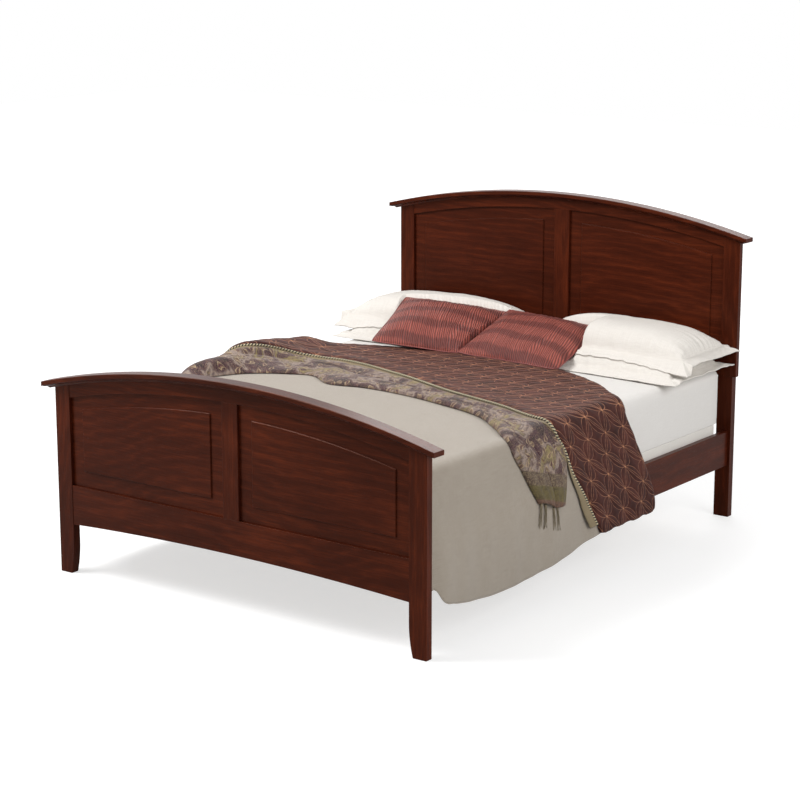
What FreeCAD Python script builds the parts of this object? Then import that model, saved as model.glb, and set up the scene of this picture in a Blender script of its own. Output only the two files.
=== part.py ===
"""Panel bed for a queen mattress: an arched footboard and headboard of framed raised panels,
side rails hooked to their legs, slats on cleats, a centre beam with levelling feet, and the
dressed bedding. Millimetres, +Z up, +Y towards the headboard, origin on the floor at the centre."""
import FreeCAD, Part
import Sketcher
import math
import os

Vector = FreeCAD.Vector

SIZES = {
    # the mattress set and the room round it
    "mattress_width": 1524, "mattress_length": 2032, "mattress_height": 222,
    "mattress_edge": 42, "mattress_crown": 6, "mattress_bulge": 3,
    "foundation_height": 127, "foundation_inset": 8, "foundation_length": 1980,
    "rail_gap": 3, "end_gap": 10,
    # side rails, cleats and slats
    "rail_thickness": 25, "rail_low": 210, "rail_height": 140, "rail_ease": 3,
    "cleat_width": 22, "cleat_height": 30, "cleat_end_gap": 60,
    # slat_top is above the rails' lower edge; slat_first and slat_last are from the two boards
    "slat_top": 50, "slat_thickness": 20, "slat_width": 70, "slat_side_gap": 2,
    "slat_first": 110, "slat_last": 126,
    # footboard
    "post_width": 70, "post_depth": 32, "post_reveal": 38, "taper_height": 120, "taper_cut": 16,
    "foot_height": 822, "foot_cap_thickness": 17, "foot_cap_front": 25, "foot_cap_depth": 58,
    "foot_cap_side": 45, "foot_rail_drop": 75, "foot_sill_top": 335, "foot_sill_low": 188,
    "foot_sill_arch": 22,
    # headboard; head_sill_top is the height of its bottom rail
    "stile_width": 69.5, "head_reveal": 27.5, "stile_low": 573, "head_sill_top": 67,
    "head_height": 1235, "head_cap_thickness": 16, "head_cap_front": 30, "head_cap_depth": 58,
    "head_cap_side": 39.5, "head_rail_drop": 68,
    "leg_width": 64, "leg_depth": 32, "leg_inset": 16.5, "leg_setback": 4, "lap_height": 227,
    # what both boards share
    "arch_radius": 3490, "board_thickness": 25, "rail_recess": 1.5, "mullion_width": 70,
    "panel_recess": 11, "panel_thickness": 8, "tongue": 8, "groove_gap": 0.4,
    "field_raise": 5, "field_side": 57.5, "field_low": 60, "field_top": 49, "field_bevel": 2,
    "tenon_length": 15, "tenon_thickness": 10, "tenon_shoulder": 12, "mortise_gap": 0.3,
    "cove_inset": 5, "cove_run": 17, "cove_height": 12, "cove_lip": 2,
    "cove_break_run": 11, "cove_break_height": 6.5,
    "edge_ease": 2,
    # hooks that join the rails to the legs
    "plate_width": 16, "plate_height": 120, "plate_thickness": 2.5, "plate_gap": 0.2,
    "hook_thickness": 3, "hook_reach": 12, "hook_drop": 12, "hook_neck": 10, "hook_spacing": 60,
    "slot_height": 26, "slot_gap": 0.8,
    "plate_screw_radius": 2, "plate_screw_length": 18, "plate_screw_spacing": 100,
    # screws and bolts
    "slat_screw_radius": 2, "slat_screw_length": 40, "screw_head_radius": 4,
    "screw_head_height": 2.2, "screw_gap": 0.15,
    "bolt_radius": 4, "bolt_length": 32, "bolt_head_radius": 7, "bolt_head_height": 5,
    "bolt_low": 55, "bolt_spacing": 120, "insert_radius": 6, "insert_length": 15,
    # centre support
    "beam_width": 40, "beam_height": 44, "beam_end_gap": 30,
    "support_size": 38, "support_first": 735, "support_second": 1400, "foot_travel": 12,
    "support_screw_offset": 9,
    "pad_radius": 20, "pad_height": 8, "stem_radius": 5, "stem_length": 34, "stem_gap": 0.08,
    "ferrule_radius": 9, "ferrule_length": 24, "foot_stop": 3,
    # bedding, as it lies dressed; the flares are out from the rails, coverlet_end and the
    # places of pillows and cushions along the bed are from the headboard
    "sheet_thickness": 2.5, "soft_gap": 0.3, "cloth_lift": 1.2,
    "coverlet_thickness": 3.5, "coverlet_fold": 11, "coverlet_start": 10, "coverlet_end": 884,
    "cloth_hem": 150, "cloth_flare": 22, "hem_flare": 28,
    "throw_thickness": 6, "throw_tuck": 45, "cloth_over_rail": 2,
    "quilt_thickness": 16, "quilt_edge": 5, "quilt_hem": 172,
    "pillow_length": 800, "pillow_depth": 465, "pillow_loft": 95, "pillow_flange": 42,
    "pillow_x": 18, "pillow_y": 246, "top_pillow_y": 214, "top_pillow_shift": 20,
    "pillow_flange_thickness": 5, "pillow_draw": 12, "pillow_lift": 17,
    "cushion_length": 490, "cushion_depth": 380, "cushion_loft": 60, "cushion_edge": 10,
    "cushion_draw": 14, "cushion_left_x": -322, "cushion_right_x": 96, "cushion_left_y": 388,
    "cushion_right_y": 368, "cushion_tilt": 20, "cushion_left_turn": 12, "cushion_right_turn": -4,
}
SLAT_COUNT = 11
# stations of the draped cloth: degrees round the mattress edge, then shares of its flat top
DRAPE_ANGLES = (12, 34, 56, 78)
TOP_SHARES = (2 / 3, 1 / 3, 0, -1 / 3, -2 / 3)
# how freely cloth moves: 1 at a hanging hem, almost nothing where it lies
SIDE_HANG = 0.6
EDGE_HANG = 0.12
TOP_HANG = 0.02
FLARE_RISE = 0.1

doc = FreeCAD.newDocument("PanelBed")
sheet = doc.addObject("Spreadsheet::Sheet", "Sizes")
for row, (name, value) in enumerate(SIZES.items(), start=1):
    sheet.set(f"A{row}", name)
    sheet.set(f"B{row}", str(value))
    sheet.setAlias(f"B{row}", name)
doc.recompute()


class Size:
    """A length together with the sheet formula that works it out."""

    def __init__(self, number, formula):
        self.number = number
        self.formula = formula

    def join(self, sign, other, number):
        return Size(number, f"({self.formula} {sign} {as_size(other).formula})")

    def __add__(self, other):
        return self.join("+", other, self.number + as_size(other).number)

    def __sub__(self, other):
        return self.join("-", other, self.number - as_size(other).number)

    def __mul__(self, other):
        return self.join("*", other, self.number * as_size(other).number)

    def __truediv__(self, other):
        return self.join("/", other, self.number / as_size(other).number)

    def __rsub__(self, other):
        return as_size(other) - self

    def __neg__(self):
        return self * -1

    def root(self):
        return Size(math.sqrt(self.number), f"sqrt({self.formula})")


def as_size(value):
    return value if isinstance(value, Size) else Size(value, repr(value))


def larger(a, b):
    return Size(max(a.number, b.number), f"max({a.formula}; {b.formula})")


def cell(name):
    return Size(float(sheet.get(name)), f"Sizes.{name}")


# ---- driving sizes, read from the sheet, and what follows from them -----------------------
S = {name: cell(name) for name in SIZES}
ZERO = as_size(0)

rail_inner = S["mattress_width"] / 2 + S["rail_gap"]
rail_outer = rail_inner + S["rail_thickness"]
rail_top = S["rail_low"] + S["rail_height"]
post_outer = rail_outer + S["post_reveal"]
post_inner = post_outer - S["post_width"]
stile_outer = rail_outer + S["head_reveal"]
stile_inner = stile_outer - S["stile_width"]
leg_outer = stile_outer - S["leg_inset"]
leg_inner = leg_outer - S["leg_width"]

inside_length = larger(S["mattress_length"], S["foundation_length"]) + S["end_gap"] * 2
overall_length = (S["foot_cap_front"] + S["post_depth"] + inside_length
                  + S["leg_setback"] + S["leg_depth"])
foot_face = S["foot_cap_front"] - overall_length / 2
foot_back = foot_face + S["post_depth"]
head_face = foot_back + inside_length
leg_front = head_face + S["leg_setback"]
leg_back = leg_front + S["leg_depth"]
rail_length = leg_front - foot_back
mattress_foot = foot_back + S["end_gap"]

foot_arch = S["foot_height"] - S["arch_radius"]
head_arch = S["head_height"] - S["arch_radius"]


def arch_z(centre, radius, x):
    """Height at x of an arc about (0, centre)."""
    return centre + (radius * radius - x * x).root()


# ---- drawing helpers ----------------------------------------------------------------------
def bind(item, prop, size):
    """Set a property from a size, and tie it to the sheet."""
    size = as_size(size)
    if "Sizes." in size.formula:
        item.setExpression(prop, size.formula)


def bind_place(item, x, y, z):
    place = [as_size(value) for value in (x, y, z)]
    item.Placement.Base = Vector(*[value.number for value in place])
    for axis, value in zip("xyz", place):
        bind(item, f"Placement.Base.{axis}", value)


def arc_between(start, end, radius):
    """Arc of less than a half circle; a positive radius turns left on the way."""
    chord = end - start
    middle = (start + end) / 2
    left = Vector(-chord.y, chord.x, 0).normalize()
    reach = math.sqrt(radius * radius - (chord.Length / 2) ** 2)
    centre = middle + left * reach * (1 if radius > 0 else -1)
    angles = [math.atan2(p.y - centre.y, p.x - centre.x) for p in (start, end)]
    if radius < 0:
        angles.reverse()
    if angles[1] < angles[0]:
        angles[1] += 2 * math.pi
    return Part.ArcOfCircle(Part.Circle(centre, Vector(0, 0, 1), abs(radius)), *angles)


def draw_outline(sketch, corners):
    """Closed outline through (x, y) corners; a third value is the radius of the edge leaving it."""
    first = sketch.GeometryCount
    corners = [[as_size(value) for value in corner] for corner in corners]
    ends = []
    for i, corner in enumerate(corners):
        following = corners[(i + 1) % len(corners)]
        start = Vector(corner[0].number, corner[1].number, 0)
        end = Vector(following[0].number, following[1].number, 0)
        if len(corner) == 2:
            sketch.addGeometry(Part.LineSegment(start, end))
            ends.append((1, 2))
        else:
            sketch.addGeometry(arc_between(start, end, corner[2].number))
            ends.append((1, 2) if corner[2].number > 0 else (2, 1))
    for i, corner in enumerate(corners):
        j = (i + 1) % len(corners)
        sketch.addConstraint(Sketcher.Constraint("Coincident", first + i, ends[i][1], first + j, ends[j][0]))
        for kind, value in zip(("DistanceX", "DistanceY"), corner):
            index = sketch.addConstraint(
                Sketcher.Constraint(kind, -1, 1, first + i, ends[i][0], value.number))
            bind(sketch, f"Constraints[{index}]", value)
        if len(corner) == 3:
            radius = corner[2] if corner[2].number > 0 else -corner[2]
            index = sketch.addConstraint(Sketcher.Constraint("Radius", first + i, radius.number))
            bind(sketch, f"Constraints[{index}]", radius)


def new_body(label, y=ZERO):
    body = doc.addObject("PartDesign::Body", label)
    body.Label = label
    bind_place(body, ZERO, y, ZERO)
    return body


def new_sketch(body, name, outlines, plane="XZ_Plane", depth=ZERO):
    """Sketch on an origin plane of its own body, or behind it by depth."""
    support = next(o for o in body.Origin.OriginFeatures if o.Role == plane)
    sketch = body.newObject("Sketcher::SketchObject", name)
    sketch.AttachmentSupport = [(support, "")]
    sketch.MapMode = "FlatFace"
    offset = -depth if plane == "XZ_Plane" else depth
    sketch.AttachmentOffset = FreeCAD.Placement(Vector(0, 0, offset.number), FreeCAD.Rotation())
    bind(sketch, "AttachmentOffset.Base.z", offset)
    for corners in outlines:
        draw_outline(sketch, corners)
    return sketch


def pad(body, name, outlines, thickness, plane="XZ_Plane", depth=ZERO, forward=False):
    """Pad away from the front face, or towards the viewer where forward is set."""
    feature = body.newObject("PartDesign::Pad", name)
    feature.Profile = new_sketch(body, f"{name}_sketch", outlines, plane, depth)
    feature.Length = as_size(thickness).number
    bind(feature, "Length", thickness)
    feature.Reversed = (plane == "XZ_Plane") != forward
    return feature


def pocket(body, name, outlines, thickness, plane="XZ_Plane", depth=ZERO):
    doc.recompute()
    before = body.Shape.Volume
    feature = body.newObject("PartDesign::Pocket", name)
    feature.Profile = new_sketch(body, f"{name}_sketch", outlines, plane, depth)
    feature.Length = as_size(thickness).number
    bind(feature, "Length", thickness)
    feature.Reversed = plane != "XZ_Plane"
    doc.recompute()
    if body.Shape.Volume >= before:
        raise RuntimeError(f"{name} cuts nothing from {body.Label}")
    return feature


def block(body, name, low, high, cut=False):
    """Add or cut a box between two corners, in the body's own frame."""
    kind = "PartDesign::SubtractiveBox" if cut else "PartDesign::AdditiveBox"
    feature = body.newObject(kind, name)
    low = [as_size(value) for value in low]
    high = [as_size(value) for value in high]
    for prop, a, b in zip(("Length", "Width", "Height"), low, high):
        setattr(feature, prop, (b - a).number)
        bind(feature, prop, b - a)
    bind_place(feature, *low)
    return feature


def ease(body, name, chosen, radius, kind="PartDesign::Fillet"):
    """Round or bevel the edges that the test picks."""
    doc.recompute()
    base = body.Tip
    names = [f"Edge{i}" for i, edge in enumerate(base.Shape.Edges, start=1) if chosen(edge.BoundBox)]
    feature = body.newObject(kind, name)
    feature.Base = (base, names)
    prop = "Radius" if kind.endswith("Fillet") else "Size"
    setattr(feature, prop, radius.number)
    bind(feature, prop, radius)
    return feature


def near(a, b):
    return abs(a - b) < 0.01


def mirror(label, source, normal=Vector(1, 0, 0)):
    copy = doc.addObject("Part::Mirroring", label)
    copy.Label = label
    copy.Source = source
    copy.Normal = normal
    return copy


def cut(label, base, *tools):
    """Base less the tools, as one node."""
    tool = tools[0] if len(tools) == 1 else group(f"{label}_tools", tools)
    result = doc.addObject("Part::Cut", label)
    result.Label = label
    result.Base = base
    result.Tool = tool
    return result


def group(label, parts):
    """Identical pieces kept apart, as one node."""
    result = doc.addObject("Part::Compound", label)
    result.Label = label
    result.Links = list(parts)
    return result


def feature(label, shape):
    """A solid worked out from the sheet's sizes."""
    result = doc.addObject("Part::Feature", label)
    result.Label = label
    result.Shape = shape
    result.Placement = FreeCAD.Placement()
    return result


def box(label, low, high):
    low = [as_size(value) for value in low]
    high = [as_size(value) for value in high]
    result = doc.addObject("Part::Box", label)
    result.Label = label
    for prop, a, b in zip(("Length", "Width", "Height"), low, high):
        setattr(result, prop, (b - a).number)
        bind(result, prop, b - a)
    bind_place(result, *low)
    return result


def cylinder(label, radius, height, base, direction=Vector(0, 0, 1)):
    result = doc.addObject("Part::Cylinder", label)
    result.Label = label
    for prop, size in (("Radius", radius), ("Height", height)):
        setattr(result, prop, as_size(size).number)
        bind(result, prop, size)
    result.Placement = FreeCAD.Placement(Vector(), FreeCAD.Rotation(Vector(0, 0, 1), direction))
    bind_place(result, *base)
    return result


nodes = {}


def keep(item):
    nodes[item.Label] = item
    return item


# ---- footboard and headboard: frame, panels, cap and cove ---------------------------------
half_mullion = S["mullion_width"] / 2
member_thickness = S["board_thickness"] - S["rail_recess"]
tenon_front = S["rail_recess"] + (member_thickness - S["tenon_thickness"]) / 2
tenon_back = tenon_front + S["tenon_thickness"]
panel_back = S["panel_recess"] + S["panel_thickness"]
groove_front = S["panel_recess"] - S["groove_gap"] / 2
groove_width = S["panel_thickness"] + S["groove_gap"]
groove_depth = S["tongue"] + S["groove_gap"]


class Board:
    """The sizes of one end of the bed, as its members need them."""

    def __init__(self, name, face, centre, inner, outer, depth, sill_low, sill_top, sill_arch):
        self.name = name
        self.face = face
        self.centre = centre
        self.inner = inner
        self.outer = outer
        self.depth = depth
        self.sill_low = sill_low
        self.sill_top = sill_top
        self.sill_arch = sill_arch
        self.cap_thickness = S[f"{name}_cap_thickness"]
        self.cap_front = S[f"{name}_cap_front"]
        self.cap_depth = S[f"{name}_cap_depth"]
        self.cap_half = outer + S[f"{name}_cap_side"]
        self.under_cap = S["arch_radius"] - self.cap_thickness
        self.rail_low = S["arch_radius"] - S[f"{name}_rail_drop"]
        self.field_top = self.rail_low - S["field_top"]

    def z(self, radius, x):
        return arch_z(self.centre, radius, x)

    def tenon_heights(self):
        """Low and high of the top rail's and the sill's tenons."""
        top = (self.z(self.rail_low, self.inner) + S["tenon_shoulder"],
               self.z(self.under_cap, self.inner + S["tenon_length"]) - S["tenon_shoulder"])
        sill = (self.sill_low + S["tenon_shoulder"] * 2, self.sill_top - S["tenon_shoulder"] * 2)
        return {"top": top, "sill": sill}


foot = Board("foot", foot_face, foot_arch, post_inner, post_outer, S["post_depth"],
             S["foot_sill_low"], S["foot_sill_top"], S["foot_sill_arch"])
head = Board("head", head_face, head_arch, stile_inner, stile_outer, S["board_thickness"],
             S["stile_low"], S["stile_low"] + S["head_sill_top"], None)


def cut_joinery(body, board):
    """Mortises for the rails' tenons and the groove for the panel, in a right-hand upright."""
    gap = S["mortise_gap"]
    for name, (low, high) in board.tenon_heights().items():
        block(body, f"{name}_mortise", (board.inner - 1, tenon_front - gap, low - gap),
              (board.inner + S["tenon_length"] + gap, tenon_back + gap, high + gap), cut=True)
    top = board.z(board.rail_low, board.inner) + groove_depth
    block(body, "groove", (board.inner - 1, groove_front, board.sill_top - groove_depth),
          (board.inner + groove_depth, groove_front + groove_width, top), cut=True)


def add_tenons(body, name, board):
    low, high = board.tenon_heights()[name]
    front, back = tenon_front - S["rail_recess"], tenon_back - S["rail_recess"]
    block(body, "right_tenon", (board.inner - 1, front, low), (board.inner + S["tenon_length"], back, high))
    block(body, "left_tenon", (-board.inner - S["tenon_length"], front, low), (1 - board.inner, back, high))


def make_top_rail(board):
    label = f"{board.name}board_top_rail"
    body = new_body(label, board.face + S["rail_recess"])
    low, high, x = board.rail_low, board.under_cap, board.inner
    pad(body, "rail", [[(-x, board.z(low, x), -low), (x, board.z(low, x)),
                        (x, board.z(high, x), high), (-x, board.z(high, x))]], member_thickness)
    add_tenons(body, "top", board)
    deep = low + groove_depth
    below = low - 1
    pocket(body, "groove", [[(-x - 1, board.z(below, x + 1), -below), (x + 1, board.z(below, x + 1)),
                             (x + 1, board.z(deep, x + 1), deep), (-x - 1, board.z(deep, x + 1))]],
           groove_width, depth=groove_front - S["rail_recess"])
    return keep(body)


def make_sill(board):
    body = new_body(f"{board.name}board_bottom_rail_blank", board.face + S["rail_recess"])
    x, low, high = board.inner, board.sill_low, board.sill_top
    start = [-x, low]
    if board.sill_arch is not None:
        rise = board.sill_arch
        start.append(-((x * x + rise * rise) / (rise * 2)))
    pad(body, "rail", [[tuple(start), (x, low), (x, high), (-x, high)]], member_thickness)
    add_tenons(body, "sill", board)
    front = groove_front - S["rail_recess"]
    block(body, "groove", (-x - 1, front, high - groove_depth),
          (x + 1, front + groove_width, high + 1), cut=True)
    return keep(cut(f"{board.name}board_bottom_rail", body, screw_bores))


def make_mullion(board):
    """Centre stile; its stub tenons and side grooves are as thick as the panels' tongues."""
    label = f"{board.name}board_centre_stile"
    body = new_body(label, board.face + S["rail_recess"])
    x, low, high = half_mullion, board.sill_top, board.rail_low
    pad(body, "stile", [[(-x, low), (x, low), (x, board.z(high, x), high), (-x, board.z(high, x))]],
        member_thickness)
    front = S["panel_recess"] - S["rail_recess"]
    back = front + S["panel_thickness"]
    stub = x - groove_depth
    top = board.z(high, ZERO)
    block(body, "low_stub", (-stub, front, low - S["tongue"]), (stub, back, low + 1))
    block(body, "top_stub", (-stub, front, top - S["tongue"]), (stub, back, top + S["tongue"]))
    cut_front = groove_front - S["rail_recess"]
    for side, start, end in (("right", stub, x + 1), ("left", -x - 1, -stub)):
        block(body, f"{side}_groove", (start, cut_front, low - S["tongue"] - 1),
              (end, cut_front + groove_width, top + S["tongue"] + 1), cut=True)
    return keep(body)


def make_panel(board):
    """Right-hand raised panel: a thin tongue in the grooves all round, and a proud field."""
    label = f"{board.name}board_right_panel"
    body = new_body(label, board.face + S["panel_recess"])
    tongue = S["tongue"]
    x0, x1 = half_mullion - tongue, board.inner + tongue
    top = board.rail_low + tongue
    pad(body, "base", [[(x0, board.sill_top - tongue), (x1, board.sill_top - tongue),
                        (x1, board.z(top, x1), top), (x0, board.z(top, x0))]], S["panel_thickness"])
    x0, x1 = half_mullion + S["field_side"], board.inner - S["field_side"]
    low, top = board.sill_top + S["field_low"], board.field_top
    pad(body, "field", [[(x0, low), (x1, low), (x1, board.z(top, x1), top), (x0, board.z(top, x0))]],
        S["field_raise"], forward=True)
    front = -S["field_raise"].number
    ease(body, "bevel", lambda b: near(b.YMin, front) and near(b.YMax, front), S["field_bevel"],
         "PartDesign::Chamfer")
    keep(body)
    keep(mirror(f"{board.name}board_left_panel", body))


def make_cap(board):
    label = f"{board.name}board_cap"
    body = new_body(label, board.face - board.cap_front)
    x, low, high = board.cap_half, board.under_cap, S["arch_radius"]
    pad(body, "cap", [[(-x, board.z(low, x), -low), (x, board.z(low, x)),
                       (x, board.z(high, x), high), (-x, board.z(high, x))]], board.cap_depth)
    depth = board.cap_depth.number
    ease(body, "bevel", lambda b: near(b.YMin, b.YMax) and b.XLength > 1
         and (near(b.YMin, 0) or near(b.YMin, depth)), S["edge_ease"], "PartDesign::Chamfer")
    return keep(body)


def make_cove(board):
    """Hollow moulding under the cap, along its front and round both ends."""
    label = f"{board.name}board_cove"
    run = board.cap_front - S["cove_inset"]
    body = new_body(label, board.face - run)
    x, high = board.cap_half - S["cove_inset"], board.under_cap
    low = high - S["cove_height"]
    pad(body, "front", [[(-x, board.z(low, x), -low), (x, board.z(low, x)),
                         (x, board.z(high, x), high), (-x, board.z(high, x))]], run)
    inner = board.outer
    returns = []
    for near_x, far_x in ((inner, x), (-x, -inner)):
        returns.append([(near_x, board.z(low, near_x), -low), (far_x, board.z(low, far_x)),
                        (far_x, board.z(high, far_x), high), (near_x, board.z(high, near_x))])
    pad(body, "returns", returns, board.depth, depth=run)
    hollow_z = board.z(low, ZERO)
    top = board.z(high, ZERO) - S["cove_lip"]
    doc.recompute()
    groove = body.newObject("PartDesign::Groove", "front_hollow")
    break_y, break_rise = S["cove_break_run"], S["cove_break_height"]
    sketch = new_sketch(body, "front_hollow_sketch",
                        [[(-1, top), (-1, hollow_z - 1), (S["cove_run"], hollow_z - 1),
                          (S["cove_run"], hollow_z), (break_y, hollow_z + break_rise), (ZERO, top)]],
                        "YZ_Plane")
    axis = sketch.addGeometry(Part.LineSegment(Vector(0, board.centre.number, 0),
                                               Vector(run.number, board.centre.number, 0)), True)
    for end, y in ((1, ZERO), (2, run)):
        for kind, value in (("DistanceX", y), ("DistanceY", board.centre)):
            index = sketch.addConstraint(Sketcher.Constraint(kind, -1, 1, axis, end, value.number))
            bind(sketch, f"Constraints[{index}]", value)
    groove.Profile = sketch
    groove.ReferenceAxis = (sketch, ["Axis0"])
    groove.Angle = 360
    edge_top = board.z(high, x) - S["cove_lip"]
    edge_low = board.z(low, x - S["cove_run"])
    under = board.z(low, x) - 2
    start, end, turn = x - S["cove_run"], x + 1, x - break_y
    middle = (turn, edge_low + break_rise)
    right = [(start, under), (end, under), (end, edge_top), (x, edge_top), middle, (start, edge_low)]
    left = [(-px, pz) for px, pz in reversed(right)]
    outlines = [right, left]
    pocket(body, "end_hollow", outlines, run + board.depth + 2, depth=as_size(-1))
    return keep(body)


# ---- rail hooks: a plate with two hooks in each rail end, a slotted plate in each leg ------
plate_x = rail_inner + S["rail_thickness"] / 2
plate_z = S["rail_low"] + S["rail_height"] / 2
plate_low, plate_high = plate_z - S["plate_height"] / 2, plate_z + S["plate_height"] / 2
half_plate = S["plate_width"] / 2
hook_bases = [plate_z - S["hook_spacing"] / 2, plate_z + S["hook_spacing"] / 2]
hook_bases = [z - S["hook_drop"] for z in hook_bases]
middle_y = (foot_back + leg_front) / 2


def make_hook_plate():
    """Front right plate: flat in the rail's end, hooks reaching forward into the post."""
    body = new_body("hook_plate", foot_back)
    block(body, "plate", (plate_x - half_plate, ZERO, plate_low),
          (plate_x + half_plate, S["plate_thickness"], plate_high))
    reach, wall = S["hook_reach"], S["plate_thickness"]
    notch = -(wall + S["slot_gap"])
    for i, base in enumerate(hook_bases):
        lip_low, neck_low = base, base + S["hook_drop"]
        neck_top = neck_low + S["hook_neck"]
        pad(body, f"hook_{i + 1}", [[(-reach, lip_low), (notch, lip_low), (notch, neck_low),
                                     (wall / 2, neck_low), (wall / 2, neck_top), (-reach, neck_top)]],
            S["hook_thickness"], "YZ_Plane", plate_x - S["hook_thickness"] / 2)
    return body


def make_slot_plate():
    """Front right slotted plate, flush in the post's back face."""
    wall = S["plate_thickness"]
    body = new_body("slot_plate", foot_back - wall)
    block(body, "plate", (plate_x - half_plate, ZERO, plate_low),
          (plate_x + half_plate, wall, plate_high))
    half_slot = S["hook_thickness"] / 2 + S["slot_gap"]
    for i, base in enumerate(hook_bases):
        low = base + S["hook_drop"] - S["plate_gap"]
        block(body, f"slot_{i + 1}", (plate_x - half_slot, as_size(-1), low),
              (plate_x + half_slot, wall + 1, low + S["slot_height"]), cut=True)
    return body


def screw_solid(radius, length, head_radius, head_height):
    """Countersunk screw with a pointed tip, head up at the origin."""
    points = [Vector(0, 0, 0), Vector(head_radius, 0, 0), Vector(radius, 0, -head_height),
              Vector(radius, 0, radius - length), Vector(0, 0, -length)]
    face = Part.Face(Part.makePolygon(points + points[:1]))
    return face.revolve(Vector(0, 0, 0), Vector(0, 0, 1), 360)


def screws_at(label, places, radius, length, gap=0.0):
    """A group of screws, each (point, direction its head faces), larger all round by gap."""
    head_radius = S["screw_head_radius"].number + gap
    head_height = S["screw_head_height"].number
    solid = screw_solid(radius + gap, length + gap, head_radius, head_height)
    copies = []
    for point, direction in places:
        copy = solid.copy()
        copy.Placement = FreeCAD.Placement(point, FreeCAD.Rotation(Vector(0, 0, 1), direction))
        copies.append(copy)
    return feature(label, Part.makeCompound(copies))


def plate_screw_places(face_y, direction):
    """Above and below the hooks on both sides of the bed."""
    places = []
    half_spacing = S["plate_screw_spacing"].number / 2
    for side in (1, -1):
        for offset in (-half_spacing, half_spacing):
            places.append((Vector(side * plate_x.number, face_y, plate_z.number + offset), direction))
    return places


def all_four(label, front_right):
    """A front right piece with its mirror images at the other three corners."""
    front_left = mirror(f"{label}_front_left", front_right)
    back_right = mirror(f"{label}_back_right", front_right, Vector(0, 1, 0))
    back_right.Base = Vector(0, middle_y.number, 0)
    bind(back_right, "Base.y", middle_y)
    back_left = mirror(f"{label}_back_left", back_right)
    return keep(group(label, [front_right, front_left, back_right, back_left]))


screw_gap = S["screw_gap"].number
TOWARDS_FOOT, TOWARDS_HEAD = Vector(0, -1, 0), Vector(0, 1, 0)
rail_screws = plate_screw_places(foot_back.number, TOWARDS_FOOT)
rail_screws += plate_screw_places(leg_front.number, TOWARDS_HEAD)
leg_screws = plate_screw_places(foot_back.number, TOWARDS_HEAD)
leg_screws += plate_screw_places(leg_front.number, TOWARDS_FOOT)


# each head stands a little below its plate's face, clear of the plate it meets
plate_screws = [(point - direction * screw_gap, direction) for point, direction in rail_screws + leg_screws]
screw_radius, screw_length = S["plate_screw_radius"].number, S["plate_screw_length"].number
keep(screws_at("rail_plate_screws", plate_screws, screw_radius, screw_length))
screw_bores = screws_at("rail_plate_screw_bores", plate_screws, screw_radius, screw_length, screw_gap)
all_four("rail_hook_plates", cut("hook_plate_bored", make_hook_plate(), screw_bores))
all_four("leg_slot_plates", cut("slot_plate_bored", make_slot_plate(), screw_bores))


for board in (foot, head):
    make_top_rail(board)
    make_sill(board)
    make_mullion(board)
    make_panel(board)
    make_cap(board)
    make_cove(board)


def cut_plate_seat(body, front, back):
    """Shallow recess for a plate in a leg or rail end, in the body's own frame."""
    gap = S["plate_gap"]
    block(body, "plate_seat", (plate_x - half_plate - gap, front, plate_low - gap),
          (plate_x + half_plate + gap, back, plate_high + gap), cut=True)


def cut_hook_room(body, front, back):
    """Deeper pockets behind the slots, where the hooks' lips drop."""
    half = S["hook_thickness"] / 2 + S["slot_gap"]
    for i, base in enumerate(hook_bases):
        block(body, f"hook_room_{i + 1}", (plate_x - half, front, base - S["slot_gap"]),
              (plate_x + half, back, base + S["hook_drop"] + S["slot_height"]), cut=True)


# ---- uprights ------------------------------------------------------------------------------
def make_posts():
    """Footboard posts; each foot tapers on its inner side in a hollow curve."""
    body = new_body("footboard_post_blank", foot_face)
    under = foot.under_cap
    cut_in, height = S["taper_cut"], S["taper_height"]
    taper_radius = (height * height + cut_in * cut_in) / (cut_in * 2)
    pad(body, "post", [[(post_inner + cut_in, ZERO), (post_outer, ZERO),
                        (post_outer, foot.z(under, post_outer), under),
                        (post_inner, foot.z(under, post_inner)),
                        (post_inner, height, taper_radius)]], S["post_depth"])
    outer, depth = post_outer.number, S["post_depth"].number
    ease(body, "corners", lambda b: near(b.XMin, outer) and near(b.XMax, outer) and near(b.YMin, b.YMax)
         and (near(b.YMin, 0) or near(b.YMin, depth)), S["edge_ease"])
    cut_joinery(body, foot)
    wall = S["plate_thickness"]
    cut_plate_seat(body, S["post_depth"] - wall, S["post_depth"] + 1)
    cut_hook_room(body, S["post_depth"] - S["hook_reach"] - S["slot_gap"] - wall, S["post_depth"])
    right = keep(cut("footboard_right_post", body, screw_bores))
    keep(mirror("footboard_left_post", right))


def bolt_places():
    z = S["stile_low"] + S["bolt_low"]
    return [z, z + S["bolt_spacing"]]


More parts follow.
